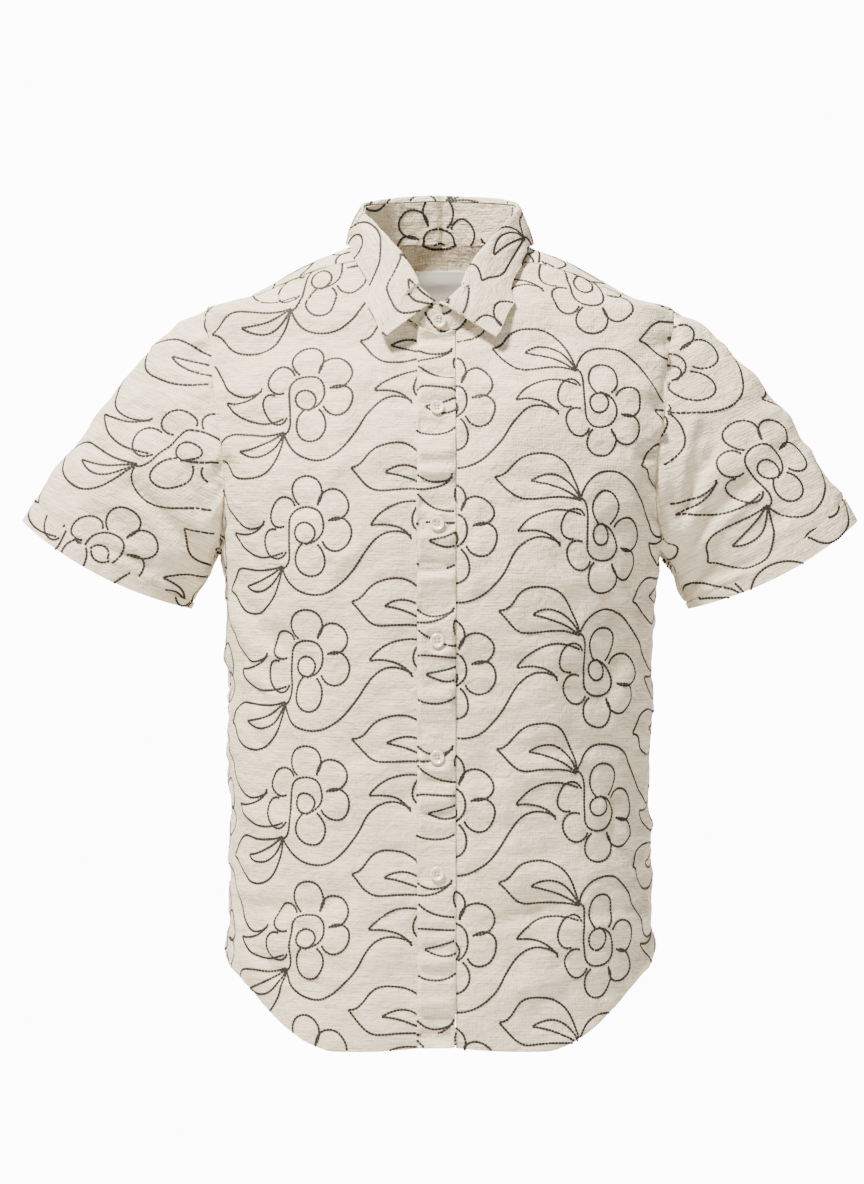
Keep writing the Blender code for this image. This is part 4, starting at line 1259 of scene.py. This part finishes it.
def embroider(name, panel, across, up, seed, material, dip=0.55, until=None):
    # stitches on a panel, after the cloth has been drawn in along them
    flat = panel["flat"].reshape(-1, 2)
    low, high = flat.min(axis=0), flat.max(axis=0)
    lines = patternLines(low, high, across, up, seed)
    starts, ends = stitchesOn(lines, embroidery["pitch"], embroidery["gap"])
    mids = (starts + ends) / 2
    near = ((mids > low) & (mids < high)).all(axis=1)
    if until is not None:
        near &= mids[:, 0] < until
    stitchDip(panel, mids[near], dip)
    settle(panel)
    group = threadStitches(panel, starts[near], ends[near], embroidery["width"], embroidery["high"])
    print(name, len(group["middle"]), "stitches")
    piece = stitchMesh(name, [group], material)
    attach(piece, "root")
    return piece


# Cream stitches along the seams and hems, in mm
topstitch = {"pitch": 2.7, "gap": 0.5, "width": 0.55, "high": 0.16, "sunk": 0.25}


def seamStitches(panel, rows):
    # rows of cream stitches along the grid's edges: (edge, inset in mm)
    flat, groups = panel["flat"], []
    for edge, inset in rows:
        axis, far = int(edge in ("left", "right")), edge in ("top", "right")
        step = np.linalg.norm(np.take(np.gradient(flat, axis=axis), -1 if far else 0, axis=axis), axis=-1)
        across = inset / np.maximum(step, 1e-6)
        across = flat.shape[axis] - 1 - across if far else across
        along = np.arange(flat.shape[1 - axis], dtype=float)
        line = sampled(flat, along, across) if axis else sampled(flat, across, along)
        starts, ends = stitchesOn([line], topstitch["pitch"], topstitch["gap"])
        groups.append(threadStitches(
            panel, starts, ends, topstitch["width"], topstitch["high"], topstitch["sunk"]))
    return groups


# Front and stand buttons and their buttonholes, in mm; the holes are (across, up)
buttons = {
    "count": 5, "topZ": -149.0, "pitch": 98.7, "x": -2.6, "standZ": -72.0,
    "radius": 6.0, "thick": 2.4, "dish": 0.62, "holeRadius": 0.95,
    "plySpread": 0.25, "plyWide": 0.36, "buttonholeHalf": 7.5, "buttonholeStep": 0.55,
    "holes": ((1.25, 1.25), (-1.25, 1.25), (1.25, -1.25), (-1.25, -1.25)),
}


def turnedButton(name, seat, out, up, resin):
    # a four-hole button with a raised rim and a dished middle; sunk holes are bored through
    across = np.cross(up, out)
    sides, holeSides = 48, 12
    radius, thick = buttons["radius"], buttons["thick"]
    # share of the radius, and of the thickness
    profile = (
        (0.0, 0.0), (0.80, 0.0), (0.93, 0.10), (1.0, 0.32), (1.0, 0.62), (0.97, 0.85), (0.90, 0.98),
        (0.82, 1.0), (0.75, 0.92), (0.69, 0.74), (0.62, 0.66), (0.30, 0.60), (0.0, 0.60),
    )
    turn = np.linspace(0, 2 * math.pi, sides, endpoint=False)
    ringAt = np.cos(turn)[:, None] * across + np.sin(turn)[:, None] * up
    points = [seat[None]]
    points += [seat + out * high * thick + radius * share * ringAt for share, high in profile[1:-1]]
    points = np.concatenate([*points, (seat + out * profile[-1][1] * thick)[None]])
    k = np.arange(sides)
    beside = (k + 1) % sides
    last = len(points) - 1
    groups = [
        np.stack([np.zeros_like(k), 1 + beside, 1 + k], axis=1),
        np.stack([np.full_like(k, last), last - sides + k, last - sides + beside], axis=1),
    ]
    for low in range(1, 1 + (len(profile) - 3) * sides, sides):
        groups.append(np.stack([low + k, low + beside, low + sides + beside, low + sides + k], axis=1))
    button = meshObject(name, points, groups, resin, np.zeros((len(points), 1, 2)), 30)
    drills = []
    for a, b in buttons["holes"]:
        middle = seat + across * a + up * b
        rim = buttons["holeRadius"] * ringAt[:: sides // holeSides]
        low, top = middle + rim - out * 1.0, middle + rim + out * (thick + 1.0)
        j = np.arange(holeSides)
        beside = (j + 1) % holeSides
        wall = np.stack([j, beside, beside + holeSides, j + holeSides], axis=1)
        drills.append(meshObject("drill", np.concatenate([low, top]),
                                 [wall, j[::-1][None], j[None] + holeSides], resin,
                                 np.zeros((2 * holeSides, 1, 2))))
        cut = button.modifiers.new("hole", "BOOLEAN")
        cut.object, cut.operation, cut.solver = drills[-1], "DIFFERENCE", "EXACT"
    graph = bpy.context.evaluated_depsgraph_get()
    solid = bpy.data.meshes.new_from_object(button.evaluated_get(graph))
    button.modifiers.clear()
    button.data = solid
    for drill in drills:
        bpy.data.objects.remove(drill)
    return button, across


def threadBars(bars, high=0.3):
    # bars of sewing thread between given points: (start, end, out, width)
    middle = np.array([(a + b) / 2 for a, b, _, _ in bars])
    reach = np.array([(b - a) / 2 for a, b, _, _ in bars])
    return stitchBars(middle, reach, np.array([o for _, _, o, _ in bars]), bars[0][3], high, 0.35)


def makeButtons(resin, cream):
    above = strip["rise"] + gaps["layer"]
    seats = []
    for k in range(buttons["count"]):
        z = buttons["topZ"] - buttons["pitch"] * k
        angle = angleAtX(buttons["x"], z)
        out = bodyOut(angle, z)
        up = np.cross(out, [1.0, 0, 0])
        up *= np.sign(up[2]) / np.linalg.norm(up)
        seats.append((f"button_{k + 1}", bodyPoint(angle, z) + out * above, out, up))
    seam, radial, rise = neckFrame(np.array([float(angleAtX(buttons["x"], bodyHeights["neckFront"]))]))
    riseBy = (buttons["standZ"] - seam[0][2]) / rise[0][2]
    seats.append(("button_collar", seam[0] + rise[0] * riseBy + radial[0] * above, radial[0], rise[0]))
    bars, holes = [], []
    for name, seat, out, up in seats:
        button, across = turnedButton("shown_" + name, seat, out, up, resin)
        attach(button, "root")
        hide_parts(name)
        top = seat + out * (buttons["dish"] * buttons["thick"])
        for a, b in ((-1, 1), (1, -1)):
            start = top + (across * a + up) * buttons["holes"][0][0]
            end = top + (across * b - up) * buttons["holes"][0][0]
            for shift in (-buttons["plySpread"], buttons["plySpread"]):
                bars.append((start + across * shift, end + across * shift, out, buttons["plyWide"]))
        # the buttonhole behind it: two close rows of short cross stitches, seen above and below
        under = seat - out * gaps["layer"]
        half = buttons["buttonholeHalf"]
        for row in (-1, 1):
            for step in np.arange(-half, half, buttons["buttonholeStep"]):
                start = under + up * step + across * row * 0.25
                holes.append((start, start + across * row * 1.3 + up * 0.15, out, 0.5))
    threads = stitchMesh("button_threads", [threadBars(bars), threadBars(holes, 0.18)], cream)
    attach(threads, "root")


def innerSide(panel):
    # the inner face of a panel, as a grid of its own that faces inward
    points = (panel["points"] - panel["out"] * panel["wall"])[:, ::-1]
    return {**panel, "points": points, "out": -panel["out"][:, ::-1], "flat": panel["flat"][:, ::-1]}


def ripplePlacket(placket):
    # level ripples, where the doubled layers shrank unevenly; they stop short of each button
    flat = placket["flat"]
    x, z = placket["points"][..., 0], placket["points"][..., 2]
    ripple = noise(flat * [0.22, 1.0], (16, 9.0), 151) + 0.6 * noise(flat * [0.35, 1.0], (14, 17), 157)
    clear = edgeFade(placket, 4, ("left", "right"))
    for k in range(buttons["count"]):
        away = np.hypot(x - buttons["x"], z - buttons["topZ"] + buttons["pitch"] * k)
        clear = clear * ease((away - buttons["radius"]) / 7)
    lift(placket, (0.35 + ripple) * clear * strip["rippleHigh"])


# Each piece: how it is held and what it rests on, whether it is creased, its crumple (depth,
# seed), its puckers (edge, depth, reach, pitch along the seam, seed), where the repeat of the
# embroidery starts (across, up, seed) outside and inside, and its topstitching (edge, inset)
pieces = {
    "yoke": {
        "held": "hung", "restsOn": (), "creased": False,
        "crumple": (1.0, 61), "puckers": (("bottom", 1.3, 9, 11, 103),),
        "pattern": (60, 10, 241), "inside": (60, 10, 241),
        "topstitch": (("bottom", 1.6), ("left", 1.6), ("right", 1.6)),
    },
    "front_left": {
        "held": "hung", "restsOn": ("yoke",), "creased": True, "crumple": (2.1, 11),
        "puckers": (("right", 3.3, 17, 11, 71), ("top", 1.4, 10, 11, 89), ("left", 1.7, 9, 12, 107),
                    ("bottom", 1.3, 9, 12, 109)),
        "pattern": (10, -371, 201), "topstitch": (("left", 2.0), ("bottom", 7.0), ("right", 1.6)),
    },
    # no flowers are stitched where the right front runs on under the placket
    "front_right": {
        "held": "hung", "restsOn": ("yoke",), "creased": True, "crumple": (2.1, 23),
        "puckers": (("left", 3.3, 17, 11, 73), ("top", 1.4, 10, 11, 97), ("bottom", 1.3, 9, 12, 113)),
        "pattern": (-114, -363, 211), "until": strip["left"] + 1,
        "topstitch": (("bottom", 7.0), ("left", 1.6)),
    },
    "back": {
        "held": "hung", "restsOn": ("yoke",), "creased": True, "crumple": (2.1, 37),
        "puckers": (("left", 1.8, 13, 11, 79), ("right", 1.8, 13, 11, 83), ("top", 1.3, 10, 13, 101),
                    ("bottom", 1.3, 9, 13, 127)),
        "pattern": (0, -369, 231), "topstitch": (("bottom", 7.0), ("left", 1.6), ("right", 1.6)),
    },
    "placket": {
        "held": "hung", "restsOn": ("front_left",), "creased": False,
        "pattern": (62, 20, 221), "topstitch": (("left", 2.2), ("right", 1.2)),
    },
    "sleeve_left": {
        "held": "hung", "restsOn": ("yoke",), "creased": True, "crumple": (1.9, 41),
        "puckers": (("top", 3.6, 19, 10, 131), ("bottom", 1.4, 9, 10, 139)), "pattern": (-52, -300, 251),
    },
    "sleeve_right": {
        "held": "hung", "restsOn": ("yoke",), "creased": True, "crumple": (1.9, 53),
        "puckers": (("top", 3.6, 19, 10, 137), ("bottom", 1.4, 9, 10, 149)), "pattern": (93, -374, 261),
    },
    "cuff_band_left": {
        "held": "folded", "restsOn": ("sleeve_left",), "creased": False, "ripple": 163,
        "pattern": (20, -40, 271), "topstitch": (("top", 1.5),),
    },
    "cuff_band_right": {
        "held": "folded", "restsOn": ("sleeve_right",), "creased": False, "ripple": 167,
        "pattern": (75, 30, 281), "topstitch": (("top", 1.5),),
    },
    "collar_stand": {
        "held": "folded", "restsOn": ("yoke",), "creased": False, "ripple": 173,
        "pattern": (30, 60, 291), "inside": (10, 0, 311), "topstitch": (("bottom", 1.5),),
    },
    "collar_leaf": {
        "held": "folded", "restsOn": ("collar_stand",), "creased": False, "crumple": (0.6, 67),
        "pattern": (20, -20, 301), "topstitch": (("bottom", 4.0), ("left", 4.0), ("right", 4.0)),
    },
}


def cutPanels():
    # every panel on a grid of its own, with its flat map: mm along the cloth
    left, right = frontPanels()
    sleeve, band = sleevePanels()
    panels = {
        "front_left": left, "front_right": right, "back": backPanel(), "yoke": yokePanel(),
        "sleeve_left": sleeve, "sleeve_right": otherSide(sleeve), "placket": placketPanel(),
        "cuff_band_left": band, "cuff_band_right": otherSide(band),
        "collar_stand": standPanel(), "collar_leaf": leafPanel(),
    }
    left["flat"] = bodyFlat(left, "front", startX=strip["right"])
    right["flat"] = bodyFlat(right, "front", endX=strip["underlapEdge"])
    panels["back"]["flat"] = bodyFlat(panels["back"], "back")
    panels["yoke"]["flat"] = yokeFlat(panels["yoke"])
    for name, side in (("sleeve_left", 1), ("sleeve_right", -1)):
        panels[name]["flat"] = sleeveFlat(panels[name], side)
    for name in ("placket", "cuff_band_left", "cuff_band_right", "collar_stand", "collar_leaf"):
        panels[name]["flat"] = bandFlat(panels[name])
    return panels


def layCloth(panel, look):
    if look["creased"]:
        crease(panel)
    if "crumple" in look:
        crumple(panel, *look["crumple"])
    for row in look.get("puckers", ()):
        pucker(panel, *row)
    if "ripple" in look:
        ripple = noise(openFlat(panel) * [1.0, 0.3], (12, 20), look["ripple"]) * 0.35
        lift(panel, ripple * edgeFade(panel, 5, ("bottom", "top")))


def makeShirt():
    cloth = washedCottonLinen()
    black = twistedThread("embroidery_thread_twist", "#0b0a0b", "#1f1c1d", 0.0)
    cream = twistedThread("sewing_thread_twist", "#d3ccba", "#efeade", 0.2)
    resin, tape = castResin(), wovenTape()
    panels = cutPanels()
    print("forms ready")

    for name, look in pieces.items():
        layCloth(panels[name], look)
    ripplePlacket(panels["placket"])
    print("creases placed")

    for name, look in pieces.items():
        panel = panels[name]
        settle(panel)
        sewn = [embroider("embroidery_" + name, panel, *look["pattern"], black, until=look.get("until"))]
        if "inside" in look:
            inner = innerSide(panel)
            sewn.append(embroider("embroidery_inside_" + name, inner, *look["inside"], black, 0.0))
        if "topstitch" in look:
            rows = stitchMesh("topstitch_" + name, seamStitches(panel, look["topstitch"]), cream)
            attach(rows, "root")
            sewn.append(rows)
        makePiece("shown_" + name, name, panel, cloth)
    makeLabel(tape, cream)
    makeButtons(resin, cream)
    print("pieces made")


# Label inside the back neck
labelTape = {"halfWidth": 29.0, "topZ": -17.0, "bottomZ": -58.0}


def makeLabel(tape, cream):
    x = np.linspace(labelTape["halfWidth"], -labelTape["halfWidth"], 30)[None]
    z = np.linspace(labelTape["bottomZ"], labelTape["topZ"], 22)[:, None] * np.ones_like(x)
    angle = math.pi - angleAtX(x, z)
    # outward here is into the neck, where the label is read
    out = -bodyOut(angle, z)
    points = bodyPoint(angle, z) + out * (walls["inCad"] + gaps["layer"] + walls["label"])
    panel = placed(points[:, ::-1], out[:, ::-1], wall=walls["label"])
    panel["flat"] = bandFlat(panel)
    crumple(panel, 0.25, 401)
    settle(panel)
    groups = seamStitches(panel, [(edge, 1.5) for edge in ("top", "left", "right", "bottom")])
    rows = stitchMesh("topstitch_label", groups, cream)
    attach(rows, "root")
    makePiece("shown_label", "neck_label", panel, tape)


# Studio, in metres and watts; the backdrop's edges are shares of the way round to the back
studio = {
    "floorHeight": -1.15, "floorRound": 1.85, "aim": (0.0, 0.0, -0.3),
    "sky": 0.25, "room": 0.9, "backdrop": 13.0,
    "band": 0.16, "glow": 0.3, "edge": 0.75, "full": 0.985,
    "lights": (
        ("key", (-1.25, -1.4, 2.7), 0.6, 600, "#fff3e2"),
        ("fill", (2.2, -2.2, 0.2), 2.0, 14, "#f4f8ff"),
        ("top", (0.2, 0.3, 2.2), 1.6, 20, "#ffffff"),
    ),
}


def makeStudio():
    # a pale floor, a lit backdrop behind the shirt in a pale room, and a soft key from the upper left
    turn = np.linspace(0, 2 * math.pi, 96, endpoint=False)
    across, along = studio["floorRound"] * np.cos(turn), studio["floorRound"] * np.sin(turn)
    rim = np.stack([across, along, 0 * turn + studio["floorHeight"]], axis=-1) / mm
    floor = meshObject("studio_floor", rim, [np.arange(96)[None]], mattPaint(), np.zeros((96, 1, 2)))
    for name, place, size, power, colour in studio["lights"]:
        light = bpy.data.lights.new(name, "AREA")
        light.shape, light.size, light.energy = "DISK", size, power
        light.color = linear(colour)[:3]
        lamp = bpy.data.objects.new(name, light)
        bpy.context.scene.collection.objects.link(lamp)
        lamp.location = place
        aim = np.array(studio["aim"]) - np.array(place)
        tilt = math.atan2(math.hypot(aim[0], aim[1]), -aim[2])
        lamp.rotation_euler = (tilt, 0, math.atan2(aim[0], -aim[1]) + math.pi)
    world = bpy.data.worlds.new("studio_sky")
    world.use_nodes = True
    tree = world.node_tree
    tree.nodes.clear()
    direction = node(tree, "ShaderNodeTexCoord", {})["Generated"]
    parts = node(tree, "ShaderNodeSeparateXYZ", {"Vector": direction})
    height = node(tree, "ShaderNodeMath", {0: parts["Z"]}, operation="ABSOLUTE")[0]
    share, band = (
        node(tree, "ShaderNodeMapRange", {
            "Value": socket, "From Min": low, "From Max": high, "To Min": start, "To Max": 1 - start,
        }, interpolation_type="SMOOTHSTEP")["Result"]
        for socket, low, high, start in (
            (parts["Y"], studio["edge"], studio["full"], 0), (height, studio["band"], studio["glow"], 1),
        )
    )
    backdrop = node(tree, "ShaderNodeMapRange", {
        "Value": share, "To Min": studio["room"], "To Max": studio["backdrop"],
    }, interpolation_type="SMOOTHSTEP")["Result"]
    glow = node(tree, "ShaderNodeMath", {0: backdrop, 1: band}, operation="MULTIPLY")[0]
    strength = node(tree, "ShaderNodeMath", {0: glow, 1: studio["sky"]}, operation="ADD")[0]
    colour = node(tree, "ShaderNodeMix", {0: share, 6: linear("#fff1de"), 7: linear("#fcfcfb")},
                  data_type="RGBA")[2]
    sky = node(tree, "ShaderNodeBackground", {"Strength": strength, "Color": colour})["Background"]
    node(tree, "ShaderNodeOutputWorld", {"Surface": sky})
    bpy.context.scene.world = world
    print("studio lit")


# The photo is 864 pixels wide, at 0.88 mm to a pixel in the plane of the side seams
photoView = {"pictureWide": 864, "focus": 3636.4, "film": 36.0, "place": (-0.007, -3.2, -0.3054)}


def makeCamera():
    lens = bpy.data.cameras.new("photo_view")
    lens.sensor_fit = "HORIZONTAL"
    lens.sensor_width = photoView["film"]
    lens.lens = photoView["film"] * photoView["focus"] / photoView["pictureWide"]
    camera = bpy.data.objects.new("photo_view", lens)
    camera.location = photoView["place"]
    camera.rotation_euler = (math.pi / 2, 0, 0)
    bpy.context.scene.collection.objects.link(camera)
    bpy.context.scene.camera = camera
    print("camera placed")


makeShirt()
makeStudio()
makeCamera()
bpy.context.view_layer.update()
